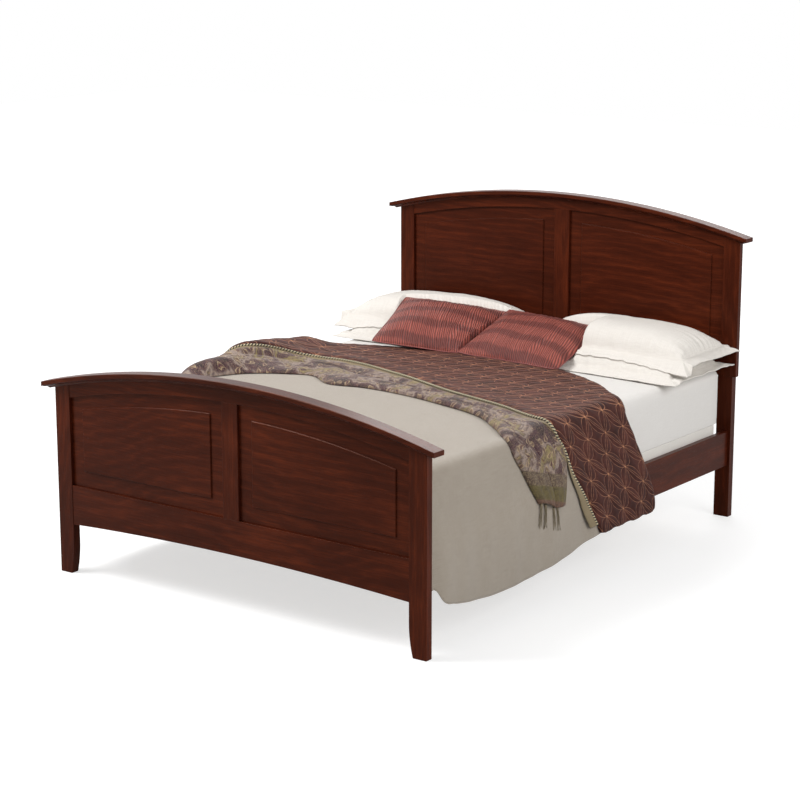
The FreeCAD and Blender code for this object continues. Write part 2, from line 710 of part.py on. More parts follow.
def make_head_uprights():
    """Headboard stiles, and the legs half-lapped behind them with bolts into inserts."""
    stile = new_body("headboard_stile_blank", head_face)
    under = head.under_cap
    pad(stile, "stile", [[(stile_inner, S["stile_low"]), (stile_outer, S["stile_low"]),
                          (stile_outer, head.z(under, stile_outer), under),
                          (stile_inner, head.z(under, stile_inner))]], S["board_thickness"])
    outer, thick = stile_outer.number, S["board_thickness"].number
    ease(stile, "corners", lambda b: near(b.XMin, outer) and near(b.XMax, outer) and near(b.YMin, b.YMax)
         and (near(b.YMin, 0) or near(b.YMin, thick)), S["edge_ease"])
    cut_joinery(stile, head)
    leg = new_body("headboard_leg_blank", leg_front)
    lap_front = S["board_thickness"] - S["leg_setback"]
    block(leg, "leg", (leg_inner, ZERO, ZERO), (leg_outer, S["leg_depth"], S["stile_low"]))
    block(leg, "lap", (leg_inner, lap_front, S["stile_low"] - 1),
          (leg_outer, S["leg_depth"], S["stile_low"] + S["lap_height"]))
    cut_plate_seat(leg, as_size(-1), S["plate_thickness"])
    cut_hook_room(leg, ZERO, S["hook_reach"] + S["slot_gap"] + S["plate_thickness"])
    x = (leg_inner + leg_outer) / 2
    insert_front = head_face + S["board_thickness"] - S["insert_length"]
    bolts, inserts, bores = [], [], []
    for i, z in enumerate(bolt_places(), start=1):
        start = leg_back - S["bolt_length"]
        shank = cylinder(f"bolt_shank_{i}", S["bolt_radius"], S["bolt_length"], (x, start, z), TOWARDS_HEAD)
        top = cylinder(f"bolt_head_{i}", S["bolt_head_radius"], S["bolt_head_height"],
                       (x, leg_back - S["bolt_head_height"], z), TOWARDS_HEAD)
        bolt = doc.addObject("Part::Fuse", f"bolt_{i}")
        bolt.Base = shank
        bolt.Tool = top
        bolts.append(bolt)
        sleeve = cylinder(f"insert_sleeve_{i}", S["insert_radius"], S["insert_length"],
                          (x, insert_front, z), TOWARDS_HEAD)
        bore = cylinder(f"insert_bore_{i}", S["bolt_radius"] + S["screw_gap"], S["insert_length"],
                        (x, insert_front, z), TOWARDS_HEAD)
        inserts.append(cut(f"insert_{i}", sleeve, bore))
        room = S["screw_gap"]
        bores.append(cylinder(f"insert_hole_{i}", S["insert_radius"] + room / 2, S["insert_length"] + room,
                              (x, insert_front - room, z), TOWARDS_HEAD))
        bores.append(cylinder(f"bolt_hole_{i}", S["bolt_radius"] + room, S["bolt_length"] + room,
                              (x, start - room, z), TOWARDS_HEAD))
        bores.append(cylinder(f"bolt_sink_{i}", S["bolt_head_radius"] + room, S["bolt_head_height"] + room,
                              (x, leg_back - S["bolt_head_height"], z), TOWARDS_HEAD))
    holes = group("leg_bolt_bores", bores)
    right = keep(cut("headboard_right_stile", stile, holes))
    keep(mirror("headboard_left_stile", right))
    right = keep(cut("headboard_right_leg", leg, screw_bores, holes))
    keep(mirror("headboard_left_leg", right))
    keep(group("leg_bolts", bolts + [mirror(f"left_{bolt.Label}", bolt) for bolt in bolts]))
    keep(group("leg_inserts", inserts + [mirror(f"left_{item.Label}", item) for item in inserts]))


make_posts()
make_head_uprights()


# ---- side rails, cleats and slats ------------------------------------------------------------
slat_top = S["rail_low"] + S["slat_top"]
cleat_top = slat_top - S["slat_thickness"]
slat_step = (rail_length - S["slat_first"] - S["slat_last"]) / (SLAT_COUNT - 1)
slat_half = rail_inner - S["slat_side_gap"]
slat_screw_x = rail_inner - S["cleat_width"] / 2


def slat_centre(i):
    return foot_back + S["slat_first"] + slat_step * i


def slat_screw_places():
    places = []
    for i in range(SLAT_COUNT):
        for x in (slat_screw_x.number, 0.0, -slat_screw_x.number):
            places.append((Vector(x, slat_centre(i).number, slat_top.number), Vector(0, 0, 1)))
    return places


def make_rails_and_slats():
    rail = new_body("side_rail_blank", foot_back)
    wall = S["plate_thickness"]
    pad(rail, "rail", [[(rail_inner, S["rail_low"]), (rail_outer, S["rail_low"]),
                        (rail_outer, rail_top), (rail_inner, rail_top)]], rail_length)
    outer, top = rail_outer.number, rail_top.number
    ease(rail, "corners", lambda b: b.YLength > 1 and near(b.XMin, b.XMax)
         and (near(b.XMin, outer) or near(b.ZMin, top)), S["rail_ease"])
    cut_plate_seat(rail, as_size(-1), wall)
    block(rail, "back_plate_seat", (plate_x - half_plate - S["plate_gap"], rail_length - wall,
                                    plate_low - S["plate_gap"]),
          (plate_x + half_plate + S["plate_gap"], rail_length + 1, plate_high + S["plate_gap"]), cut=True)
    right = keep(cut("right_side_rail", rail, screw_bores))
    keep(mirror("left_side_rail", right))

    radius, length = S["slat_screw_radius"].number, S["slat_screw_length"].number
    places = slat_screw_places()
    keep(screws_at("slat_screws", places, radius, length))
    bores = screws_at("slat_screw_bores", places, radius, length, screw_gap)
    cleat = box("cleat_blank", (rail_inner - S["cleat_width"], foot_back + S["cleat_end_gap"],
                                cleat_top - S["cleat_height"]),
                (rail_inner, leg_front - S["cleat_end_gap"], cleat_top))
    right = keep(cut("right_cleat", cleat, bores))
    keep(mirror("left_cleat", right))
    for i in range(SLAT_COUNT):
        y = slat_centre(i)
        blank = box(f"slat_blank_{i + 1}", (-slat_half, y - S["slat_width"] / 2, cleat_top),
                    (slat_half, y + S["slat_width"] / 2, slat_top))
        keep(cut(f"slat_{i + 1:02d}", blank, bores))
    return bores


slat_bores = make_rails_and_slats()


# ---- centre beam, its legs and their levelling feet -------------------------------------------
beam_low = cleat_top - S["beam_height"]
support_low = S["pad_height"] + S["foot_travel"] + S["foot_stop"]
stem_top = S["pad_height"] + S["stem_length"]
support_half = S["support_size"] / 2


def make_support(label, y):
    """One centre leg with its ferrule, and the foot whose stem screws up into it."""
    leg = box(f"{label}_leg_blank", (-support_half, y - support_half, support_low),
              (support_half, y + support_half, beam_low))
    room = S["stem_gap"]
    socket = cylinder(f"{label}_ferrule_socket", S["ferrule_radius"], S["ferrule_length"],
                      (ZERO, y, support_low))
    top_room = S["foot_travel"] + S["foot_stop"]
    stem_room = cylinder(f"{label}_stem_room", S["stem_radius"] + 1, stem_top + top_room - support_low,
                         (ZERO, y, support_low))
    keep(cut(f"{label}_centre_leg", leg, socket, stem_room, beam_screw_bores))
    bore = cylinder(f"{label}_ferrule_bore", S["stem_radius"] + room, S["ferrule_length"],
                    (ZERO, y, support_low))
    sleeve = cylinder(f"{label}_sleeve", S["ferrule_radius"], S["ferrule_length"], (ZERO, y, support_low))
    ferrule = cut(f"{label}_ferrule", sleeve, bore)
    disc = cylinder(f"{label}_pad", S["pad_radius"], S["pad_height"], (ZERO, y, ZERO))
    stem = cylinder(f"{label}_stem", S["stem_radius"], stem_top, (ZERO, y, ZERO))
    levelling = doc.addObject("Part::Fuse", f"{label}_levelling_foot")
    levelling.Base = disc
    levelling.Tool = stem
    keep(levelling)
    return ferrule


def beam_screw_places():
    """Two long screws side by side, down through the beam into the top of each leg."""
    places = []
    offset = S["support_screw_offset"].number
    for y in (S["support_first"], S["support_second"]):
        for x in (-offset, offset):
            places.append((Vector(x, (foot_face + y).number, cleat_top.number), Vector(0, 0, 1)))
    return places


beam_screw_length = S["beam_height"].number + S["slat_screw_length"].number
beam_screw_radius = S["slat_screw_radius"].number
keep(screws_at("beam_screws", beam_screw_places(), beam_screw_radius, beam_screw_length))
beam_screw_bores = screws_at("beam_screw_bores", beam_screw_places(), beam_screw_radius,
                             beam_screw_length, screw_gap)
beam_blank = box("beam_blank", (-S["beam_width"] / 2, foot_back + S["beam_end_gap"], beam_low),
                 (S["beam_width"] / 2, head_face - S["beam_end_gap"], cleat_top))
keep(cut("centre_beam", beam_blank, slat_bores, beam_screw_bores))
ferrules = [make_support("front", foot_face + S["support_first"]),
            make_support("back", foot_face + S["support_second"])]
keep(group("foot_ferrules", ferrules))


# ---- bedding: foundation, mattress and fitted sheet --------------------------------------------
soft = {name: size.number for name, size in S.items()}
bed_low = slat_top.number
mattress_low = bed_low + soft["foundation_height"]
mattress_top = mattress_low + soft["mattress_height"]
half_mattress = soft["mattress_width"] / 2
head_y = head_face.number
mattress_y = mattress_foot.number
bed_top = mattress_top + soft["soft_gap"] + soft["sheet_thickness"]
crown_top = bed_top + soft["mattress_crown"]


# the mattress's end edges are rounded this much of its side edges
END_ROUNDING = 0.6


def chain(points):
    """Closed wire; a point holding a middle point makes the edge to the next an arc."""
    edges = []
    for i, (start, middle) in enumerate(points):
        end = points[(i + 1) % len(points)][0]
        if middle is None:
            edges.append(Part.makeLine(start, end))
        else:
            edges.append(Part.Arc(start, middle, end).toShape())
    return Part.Wire(edges)


def mattress_form(grow, low, length_grow):
    """Crowned top, rounded long edges, sides swelling a little; larger all round by grow."""
    r = soft["mattress_edge"] + grow
    x = half_mattress + grow
    top = mattress_top + grow
    crown = top + soft["mattress_crown"]
    bulge = soft["mattress_bulge"]
    y = mattress_y - length_grow
    k = math.sin(math.pi / 4)
    waist = (low + top - r) / 2

    def at(px, pz):
        return Vector(px, y, pz)

    points = [
        (at(-x + r, low), None),
        (at(x - r, low), at(x - r + r * k, low + r - r * k)),
        (at(x, low + r), at(x + bulge, waist)),
        (at(x, top - r), at(x - r + r * k, top - r + r * k)),
        (at(x - r, top), at(0, crown)),
        (at(-x + r, top), at(-x + r - r * k, top - r + r * k)),
        (at(-x, top - r), at(-x - bulge, waist)),
        (at(-x, low + r), at(-x + r - r * k, low + r - r * k)),
    ]
    face = Part.Face(chain(points))
    solid = face.extrude(Vector(0, soft["mattress_length"] + 2 * length_grow, 0))
    ends = [edge for edge in solid.Edges if near(edge.BoundBox.YLength, 0)
            and edge.BoundBox.ZMin > low + r]
    return solid.makeFillet(r * END_ROUNDING, ends)


def make_mattress_set():
    gap, skin = soft["soft_gap"], soft["sheet_thickness"]
    inset = soft["foundation_inset"]
    x = half_mattress - inset
    y = mattress_y + inset / 4
    base = Part.makeBox(2 * x, soft["foundation_length"], soft["foundation_height"] - gap,
                        Vector(-x, y, bed_low))
    upright = [e for e in base.Edges if e.BoundBox.ZLength > 1]
    keep(feature("foundation", base.makeFillet(inset * 2, upright)))
    keep(feature("mattress", mattress_form(0.0, mattress_low, 0.0)))
    outer = mattress_form(gap + skin, mattress_low - gap, gap + skin)
    inner = mattress_form(gap, mattress_low - gap, gap)
    keep(feature("fitted_sheet", outer.cut(inner)))


make_mattress_set()


# ---- draped cloth: stations from the left hem, over the bed, to the right hem --------------------
class Station:
    """A place on the draped line: a point, the way out of the cloth, and how freely it hangs."""

    def __init__(self, x, z, nx, nz, hang):
        length = math.hypot(nx, nz)
        self.x, self.z = x, z
        self.nx, self.nz = nx / length, nz / length
        self.hang = hang

    def point(self, out, y):
        return Vector(self.x + self.nx * out, y, self.z + self.nz * out)

    def over_folds(self):
        """How far the coverlet's folds stand out here."""
        return soft["coverlet_fold"] * self.hang


def right_side(hem):
    """Hem, rail height and the turn over the mattress edge; with no hem it ends at the rail."""
    lift = soft["cloth_lift"]
    r = soft["mattress_edge"] + soft["soft_gap"] + soft["sheet_thickness"]
    cx, cz = half_mattress - soft["mattress_edge"], mattress_top - soft["mattress_edge"]
    rail_z = rail_top.number + soft["cloth_over_rail"]
    rail_x = rail_outer.number
    stations = [Station(rail_x + soft["cloth_flare"], rail_z, 1, FLARE_RISE, SIDE_HANG)]
    if hem is not None:
        stations.insert(0, Station(rail_x + soft["hem_flare"], hem, 1, 0, 1))
    for angle in DRAPE_ANGLES:
        t = math.radians(angle)
        hang = EDGE_HANG if angle == DRAPE_ANGLES[0] else TOP_HANG
        stations.append(Station(cx + (r + lift) * math.cos(t), cz + (r + lift) * math.sin(t),
                                math.cos(t), math.sin(t), hang))
    return stations


def drape_line(hem=None):
    """All stations from right hem to left hem, over the mattress's crown."""
    lift = soft["cloth_lift"]
    flat = half_mattress - soft["mattress_edge"]
    right = right_side(hem)
    top = []
    for share in TOP_SHARES:
        rise = soft["mattress_crown"] * (1 - share * share)
        top.append(Station(share * flat, bed_top + lift + rise, 0, 1, TOP_HANG))
    left = [Station(-s.x, s.z, -s.nx, s.nz, s.hang) for s in reversed(right)]
    return right + top + left


def spread(start, end, count):
    return [start + (end - start) * i / count for i in range(count + 1)]


def cloth_section(station, base, thickness, ys, waves):
    """Closed section across the cloth: ys are the fold lines, waves the bulge between them."""
    points = []
    for i in range(len(ys) - 1):
        mid_y = (ys[i] + ys[i + 1]) / 2
        points.append((station.point(base + thickness, ys[i]),
                       station.point(base + thickness + waves[i], mid_y)))
    points.append((station.point(base + thickness, ys[-1]), None))
    for i in range(len(ys) - 1, 0, -1):
        mid_y = (ys[i] + ys[i - 1]) / 2
        points.append((station.point(base, ys[i]), station.point(base + waves[i - 1], mid_y)))
    points.append((station.point(base, ys[0]), None))
    return chain(points)


# bulge of each fold along the coverlet, as a share of its greatest
COVERLET_FOLDS = (1.0, -0.6, 0.5, -0.4, 0.7, -0.5, 0.6, -0.3)
# ridges across the throw, as shares of its thickness
THROW_RIDGES = (1.0, 0.8, 0.6)


def make_coverlet():
    """Smooth on top, hanging in shallow folds on both sides."""
    stations = drape_line(soft["cloth_hem"])
    start, end = foot_back.number + soft["coverlet_start"], head_y - soft["coverlet_end"]
    ys = spread(start, end, len(COVERLET_FOLDS))
    wires = []
    for station in stations:
        waves = [fold * station.over_folds() for fold in COVERLET_FOLDS]
        wires.append(cloth_section(station, 0.0, soft["coverlet_thickness"], ys, waves))
    keep(feature("coverlet", Part.makeLoft(wires, True, True)))


# near and far edges of the quilt and near edge of the throw, right hem to left hem, measured
# from the headboard's face
QUILT_NEAR = (1019, 1129, 1234, 1246, 1252, 1249, 1169, 1106, 1039, 979, 914, 919, 934, 944, 954,
              964, 984)
QUILT_FAR = (636, 679, 754, 764, 754, 734, 569, 494, 480, 509, 564, 644, 659, 674, 684, 754, 784)
THROW_NEAR = (1409, 1512, 1524, 1509, 1484, 1314, 1239, 1199, 1219, 1184, 1284, 1304, 1314, 1324,
              1344)


def make_throw():
    """Shawl gathered in long ridges, its far edge tucked under the quilt."""
    stations = drape_line()
    # the quilt goes on to its hems, one station further on each side
    quilt_near = QUILT_NEAR[1:-1]
    wires = []
    for station, near_y, quilt_y in zip(stations, THROW_NEAR, quilt_near):
        base = soft["coverlet_thickness"] + 2 * soft["soft_gap"] + station.over_folds()
        tuck = soft["throw_tuck"]
        thick = soft["throw_thickness"]
        crest = base + thick / 2
        ys = [head_y - y for y in spread(near_y, quilt_y + thick, len(THROW_RIDGES))]
        outline = []
        for i, share in enumerate(THROW_RIDGES):
            ridge_top = station.point(crest + share * thick, (ys[i] + ys[i + 1]) / 2)
            outline.append((station.point(crest, ys[i]), ridge_top))
        outline.append((station.point(crest, ys[-1]), None))
        outline.append((station.point(crest, head_y - quilt_y + tuck), None))
        outline.append((station.point(base, head_y - quilt_y + tuck), None))
        outline.append((station.point(base, ys[0]), None))
        wires.append(chain(outline))
    keep(feature("throw", Part.makeLoft(wires, True, True)))


# the quilt's long edges turn down over this much of a third of its width; its middle is crowned
QUILT_TURN = 0.4
QUILT_CROWN = 1


def quilt_form(grow=0.0):
    """Thick quilt laid across the bed, lying over the throw's tucked edge."""
    stations = drape_line(soft["quilt_hem"])
    wires = []
    for station, near_y, far_y in zip(stations, QUILT_NEAR, QUILT_FAR):
        on_coverlet = soft["coverlet_thickness"] + 2 * soft["soft_gap"] + station.over_folds()
        over_throw = on_coverlet + soft["throw_thickness"] / 2 + 3 * soft["soft_gap"]
        y0, y1 = head_y - near_y, head_y - far_y + grow
        step = y0 + soft["throw_tuck"] + soft["quilt_edge"] * 2
        thick, edge = soft["quilt_thickness"] + grow, soft["quilt_edge"]
        crest = over_throw + thick
        shoulder = crest - edge / 2
        third = (y1 - y0) / 3
        middle = (y0 + y1) / 2
        turn = third * QUILT_TURN
        points = [
            (station.point(over_throw, y0), None),
            (station.point(over_throw + edge, y0), station.point(shoulder, y0 + turn)),
            (station.point(crest, y0 + third), station.point(crest + QUILT_CROWN, middle)),
            (station.point(crest, y0 + 2 * third), station.point(shoulder, y1 - turn)),
            (station.point(on_coverlet + edge, y1), None),
            (station.point(on_coverlet, y1), None),
            (station.point(on_coverlet, step + edge * 2), None),
            (station.point(over_throw, step), None),
        ]
        wires.append(chain(points))
    return Part.makeLoft(wires, True, True)


make_coverlet()
make_throw()
keep(feature("quilt", quilt_form()))


# ---- pillows ---------------------------------------------------------------------------------------
# cross sections along a pillow, as shares of its half length
PILLOW_STATIONS = (-1.0, -0.86, -0.6, -0.25, 0.25, 0.6, 0.86, 1.0)
# its body starts thinner than the flange, so the two fuse
END_THINNING = 0.8
# fullness below the flange, against that above
CUSHION_UNDERSIDE = 0.75
LOWER_UNDERSIDE = 0.3
UPPER_UNDERSIDE = 0.45
# a lower pillow is pressed flat by the upper, which is the smaller and lies up on it
LOWER_LOFT = 0.8
UPPER_DEPTH = 0.9
STACK_RISE = 0.62
# a cushion leans with its lower edge pressed this much of its loft into the bed
CUSHION_PRESS = 0.35
FLOOR_ROOM = 4000


def pillow_form(length, depth, loft, flange, edge, draw, low_share, grow=0.0):
    """Crowned pillow with drawn-in sides on a flat flange; larger all round by grow.

    Below the flange it is as deep as low_share of its loft above.
    """
    half_x, half_y = length / 2 + grow, depth / 2 + grow
    body_x, body_y = half_x - flange, half_y - flange
    half_edge = edge / 2 + grow
    thin = half_edge * END_THINNING
    wires = []
    for share in PILLOW_STATIONS:
        swell = math.sqrt(1 - share * share)
        high = thin + (loft + grow) * swell
        low = thin + (loft * low_share + grow) * swell
        y = body_y - draw * (1 - share * share)
        x = share * body_x
        wires.append(chain([(Vector(x, -y, 0), Vector(x, 0, high)), (Vector(x, y, 0), Vector(x, 0, -low))]))
    body = Part.makeLoft(wires, True, False)
    corner = [Vector(-half_x, -half_y, -half_edge), Vector(half_x, -half_y, -half_edge),
              Vector(half_x, half_y, -half_edge), Vector(-half_x, half_y, -half_edge)]
    inward = [Vector(0, -half_y + draw, -half_edge), Vector(half_x - draw, 0, -half_edge),
              Vector(0, half_y - draw, -half_edge), Vector(-half_x + draw, 0, -half_edge)]
    rim = Part.Face(chain(list(zip(corner, inward)))).extrude(Vector(0, 0, 2 * half_edge))
    return body.fuse(rim)


def placed(shape, x, y, z, tilt=0.0, turn=0.0):
    copy = shape.copy()
    spin = FreeCAD.Rotation(Vector(0, 0, 1), turn) * FreeCAD.Rotation(Vector(1, 0, 0), tilt)
    copy.Placement = FreeCAD.Placement(Vector(x, y, z), spin)
    return copy


def make_pillows():
    """Two sleeping pillows stacked on each side, and two small cushions sunk against them."""
    gap = soft["soft_gap"]
    rest = crown_top + gap
    below_bed = Part.makeBox(FLOOR_ROOM, FLOOR_ROOM, rest, Vector(-FLOOR_ROOM / 2, -FLOOR_ROOM / 2, 0))
    wide, deep, tilt = soft["cushion_length"], soft["cushion_depth"], soft["cushion_tilt"]
    cushion_z = (rest + deep / 2 * math.sin(math.radians(tilt))
                 + soft["cushion_loft"] * CUSHION_PRESS)

    def cushion(side, grow=0.0):
        form = pillow_form(wide, deep, soft["cushion_loft"], soft["cushion_edge"],
                           soft["cushion_edge"] / 2, soft["cushion_draw"], CUSHION_UNDERSIDE, grow)
        x, y, turn = (soft[f"cushion_{side}_{key}"] for key in ("x", "y", "turn"))
        return placed(form, x, head_y - y, cushion_z, tilt, turn)

    cushions = {side: cushion(side).cut(below_bed) for side in ("left", "right")}
    cushions["left"] = cushions["left"].cut(cushion("right", 2 * gap))
    quilt_room = quilt_form(2 * gap)
    for side, shape in cushions.items():
        keep(feature(f"{side}_cushion", shape.cut(quilt_room)))
    cushion_room = [cushion(side, 2 * gap) for side in cushions]

    length, depth, loft = soft["pillow_length"], soft["pillow_depth"], soft["pillow_loft"]
    flange, edge, draw = soft["pillow_flange"], soft["pillow_flange_thickness"], soft["pillow_draw"]
    low_y, high_y = head_y - soft["pillow_y"], head_y - soft["top_pillow_y"]
    low_z = rest + soft["pillow_lift"]
    high_z = low_z + loft * STACK_RISE
    low_loft = loft * LOWER_LOFT
    for side, sign in (("left", -1), ("right", 1)):
        x = sign * (soft["pillow_x"] + length / 2)
        low_form = pillow_form(length, depth, low_loft, flange, edge, draw, LOWER_UNDERSIDE)
        low = placed(low_form, x, low_y, low_z).cut(below_bed).cut(quilt_room)
        low_room = pillow_form(length, depth, low_loft, flange, edge, draw, LOWER_UNDERSIDE, 2 * gap)
        top_form = pillow_form(length, depth * UPPER_DEPTH, loft, flange, edge, draw, UPPER_UNDERSIDE)
        top = placed(top_form, x + sign * soft["top_pillow_shift"], high_y, high_z)
        top = top.cut(placed(low_room, x, low_y, low_z)).cut(below_bed)
        for shape in cushion_room:
            low = low.cut(shape)
            top = top.cut(shape)
        keep(feature(f"{side}_lower_pillow", low))
        keep(feature(f"{side}_upper_pillow", top))


make_pillows()


# ---- check and write ---------------------------------------------------------------------------
doc.recompute()
for item in doc.Objects:
    if "Invalid" in item.State or "Error" in item.State:
        raise RuntimeError(f"{item.Label} failed: {item.State}")
for label, item in nodes.items():
    shape = item.Shape
    if shape.isNull() or not shape.isValid() or not shape.Solids:
        raise RuntimeError(f"{label} has no valid solid")
os.makedirs("parts", exist_ok=True)
for label, item in nodes.items():
    item.Shape.exportStep(f"parts/{label}.step")
    print(f"{label}: {len(item.Shape.Solids)} solid, {item.Shape.Volume / 1000:.1f} cm3")
box_all = Part.makeCompound([item.Shape for item in nodes.values()]).BoundBox
print(f"{len(nodes)} nodes, x {box_all.XMin:.2f}..{box_all.XMax:.2f}, "
      f"y {box_all.YMin:.2f}..{box_all.YMax:.2f}, z {box_all.ZMin:.2f}..{box_all.ZMax:.2f}")
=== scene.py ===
import math

import bmesh
import bpy
import numpy as np
from mathutils import Matrix, Vector


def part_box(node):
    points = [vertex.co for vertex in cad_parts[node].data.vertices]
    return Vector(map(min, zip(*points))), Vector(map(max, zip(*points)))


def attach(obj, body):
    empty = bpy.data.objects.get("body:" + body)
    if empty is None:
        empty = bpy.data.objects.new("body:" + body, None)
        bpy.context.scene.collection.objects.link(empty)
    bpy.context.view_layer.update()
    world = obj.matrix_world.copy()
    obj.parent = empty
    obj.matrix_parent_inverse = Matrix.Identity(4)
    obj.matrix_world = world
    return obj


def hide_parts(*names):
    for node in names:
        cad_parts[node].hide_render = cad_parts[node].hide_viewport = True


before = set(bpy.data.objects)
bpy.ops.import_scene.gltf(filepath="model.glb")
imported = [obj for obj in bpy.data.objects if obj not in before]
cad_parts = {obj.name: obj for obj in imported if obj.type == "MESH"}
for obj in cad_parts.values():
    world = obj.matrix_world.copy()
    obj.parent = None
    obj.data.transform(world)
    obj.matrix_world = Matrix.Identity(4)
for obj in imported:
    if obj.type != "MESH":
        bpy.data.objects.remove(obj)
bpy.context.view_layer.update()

RANDOM = np.random.default_rng(7)
MM = 0.001


# ---- shader helpers -------------------------------------------------------------------------------
def srgb(r, g, b):
    """A colour given as it looks on a screen, 0 to 255."""
    def linear(c):
        c /= 255
        return c / 12.92 if c <= 0.04045 else ((c + 0.055) / 1.055) ** 2.4
    return (linear(r), linear(g), linear(b), 1)


def maths(kind):
    """A method that puts one maths node of this kind after a number."""
    return lambda self, *others: self.shade.math(kind, self, *others)


class Num:
    """A number that the shader works out, written with ordinary signs."""

    def __init__(self, shade, socket):
        self.shade, self.socket = shade, socket

    __add__ = __radd__ = maths("ADD")
    __mul__ = __rmul__ = maths("MULTIPLY")
    __sub__, __truediv__, power = maths("SUBTRACT"), maths("DIVIDE"), maths("POWER")
    frac, floor, abs, root = maths("FRACT"), maths("FLOOR"), maths("ABSOLUTE"), maths("SQRT")
    sin, cos, max = maths("SINE"), maths("COSINE"), maths("MAXIMUM")

    def __rsub__(self, other):
        return self.shade.math("SUBTRACT", other, self)

    def __neg__(self):
        return self * -1

    def ramp(self, start, end, low=0, high=1):
        """low before start, high after end, smooth between them."""
        node = self.shade.add("ShaderNodeMapRange", Value=self, From_Min=start, From_Max=end,
                              To_Min=low, To_Max=high)
        node.interpolation_type = "SMOOTHSTEP"
        return Num(self.shade, node.outputs["Result"])


class Nodes:
    """A node tree, one short call for each node."""

    def __init__(self, tree):
        self.tree = tree

    def add(self, kind, **inputs):
        """A new node, its inputs fed by name, with _ for a space."""
        node = self.tree.nodes.new(kind)
        for name, value in inputs.items():
            self.feed(node.inputs[name.replace("_", " ")], value)
        return node

    def feed(self, socket, value):
        if isinstance(value, Num):
            value = value.socket
        if isinstance(value, bpy.types.NodeSocket):
            self.tree.links.new(value, socket)
        else:
            socket.default_value = value

    def math(self, kind, *values):
        node = self.add("ShaderNodeMath")
        node.operation = kind
        for socket, value in zip(node.inputs, values):
            self.feed(socket, value)
        return Num(self, node.outputs[0])

    def rays(self, *kinds):
        """1 for a ray of each of these kinds."""
        path = self.add("ShaderNodeLightPath")
        return [Num(self, path.outputs[f"Is {kind} Ray"]) for kind in kinds]


class Shade(Nodes):
    """A material and its nodes."""

    def __init__(self, name, rough=0.5, **sockets):
        self.material = bpy.data.materials.new(name)
        self.material.use_nodes = True
        super().__init__(self.material.node_tree)
        self.main = self.tree.nodes["Principled BSDF"]
        self.main.inputs["Roughness"].default_value = rough
        for key, value in sockets.items():
            self.main.inputs[key.replace("_", " ")].default_value = value

    def split(self, vector):
        """The three numbers of a vector."""
        node = self.add("ShaderNodeSeparateXYZ", Vector=vector)
        return [Num(self, out) for out in node.outputs]

    def place(self, source="Object"):
        """The point's coordinates: Object in metres, or UV in metres of cloth."""
        return self.split(self.add("ShaderNodeTexCoord").outputs[source])

    def random(self):
        return Num(self, self.add("ShaderNodeObjectInfo").outputs["Random"])

    def vector(self, x, y=0, z=0):
        return self.add("ShaderNodeCombineXYZ", X=x, Y=y, Z=z).outputs[0]

    def noise(self, x, y=0, z=0, detail=2, rough=0.5, distortion=0):
        node = self.add("ShaderNodeTexNoise", Vector=self.vector(x, y, z), Scale=1, Detail=detail,
                        Roughness=rough, Distortion=distortion)
        return Num(self, node.outputs["Fac"])

    def grain(self, scale, detail=2):
        """Even noise all through the piece."""
        return self.noise(*(axis * scale for axis in self.place()), detail=detail)

    def scatter(self, x, y, randomness=1):
        """A node that finds the nearest of many scattered points."""
        return self.add("ShaderNodeTexVoronoi", Scale=1, Randomness=randomness,
                        Vector=self.vector(x, y))

    def mix(self, share, first, second):
        node = self.add("ShaderNodeMix")
        node.data_type = "RGBA"
        for name, value in (("Factor", share), ("A", first), ("B", second)):
            self.feed(node.inputs[name], value)
        return node.outputs["Result"]

    def over(self, colour, *layers):
        """Lays each (share, colour) over what is there."""
        for share, tint in layers:
            colour = self.mix(share, colour, tint)
        return colour

    def colours(self, value, *stops):
        """A colour ramp of (place, colour) stops."""
        node = self.add("ShaderNodeValToRGB")
        points = node.color_ramp.elements
        while len(points) < len(stops):
            points.new(1)
        for point, (at, colour) in zip(points, stops):
            point.position = at
            point.color = colour
        self.feed(node.inputs[0], value)
        return node.outputs[0]

    def finish(self, colour, rough=None, height=None, depth=MM, soft_edge=None):
        """Sets colour, roughness and bump; height is in shares of depth, depth in metres."""
        self.feed(self.main.inputs["Base Color"], colour)
        if rough is not None:
            self.feed(self.main.inputs["Roughness"], rough)
        normal = None
        if soft_edge is not None:
            bevel = self.add("ShaderNodeBevel", Radius=soft_edge)
            bevel.samples = 4
            normal = bevel.outputs[0]
        if height is not None:
            bump = self.add("ShaderNodeBump", Distance=depth, Height=height)
            if normal is not None:
                self.feed(bump.inputs["Normal"], normal)
            normal = bump.outputs[0]
        if normal is not None:
            self.feed(self.main.inputs["Normal"], normal)
        return self.material


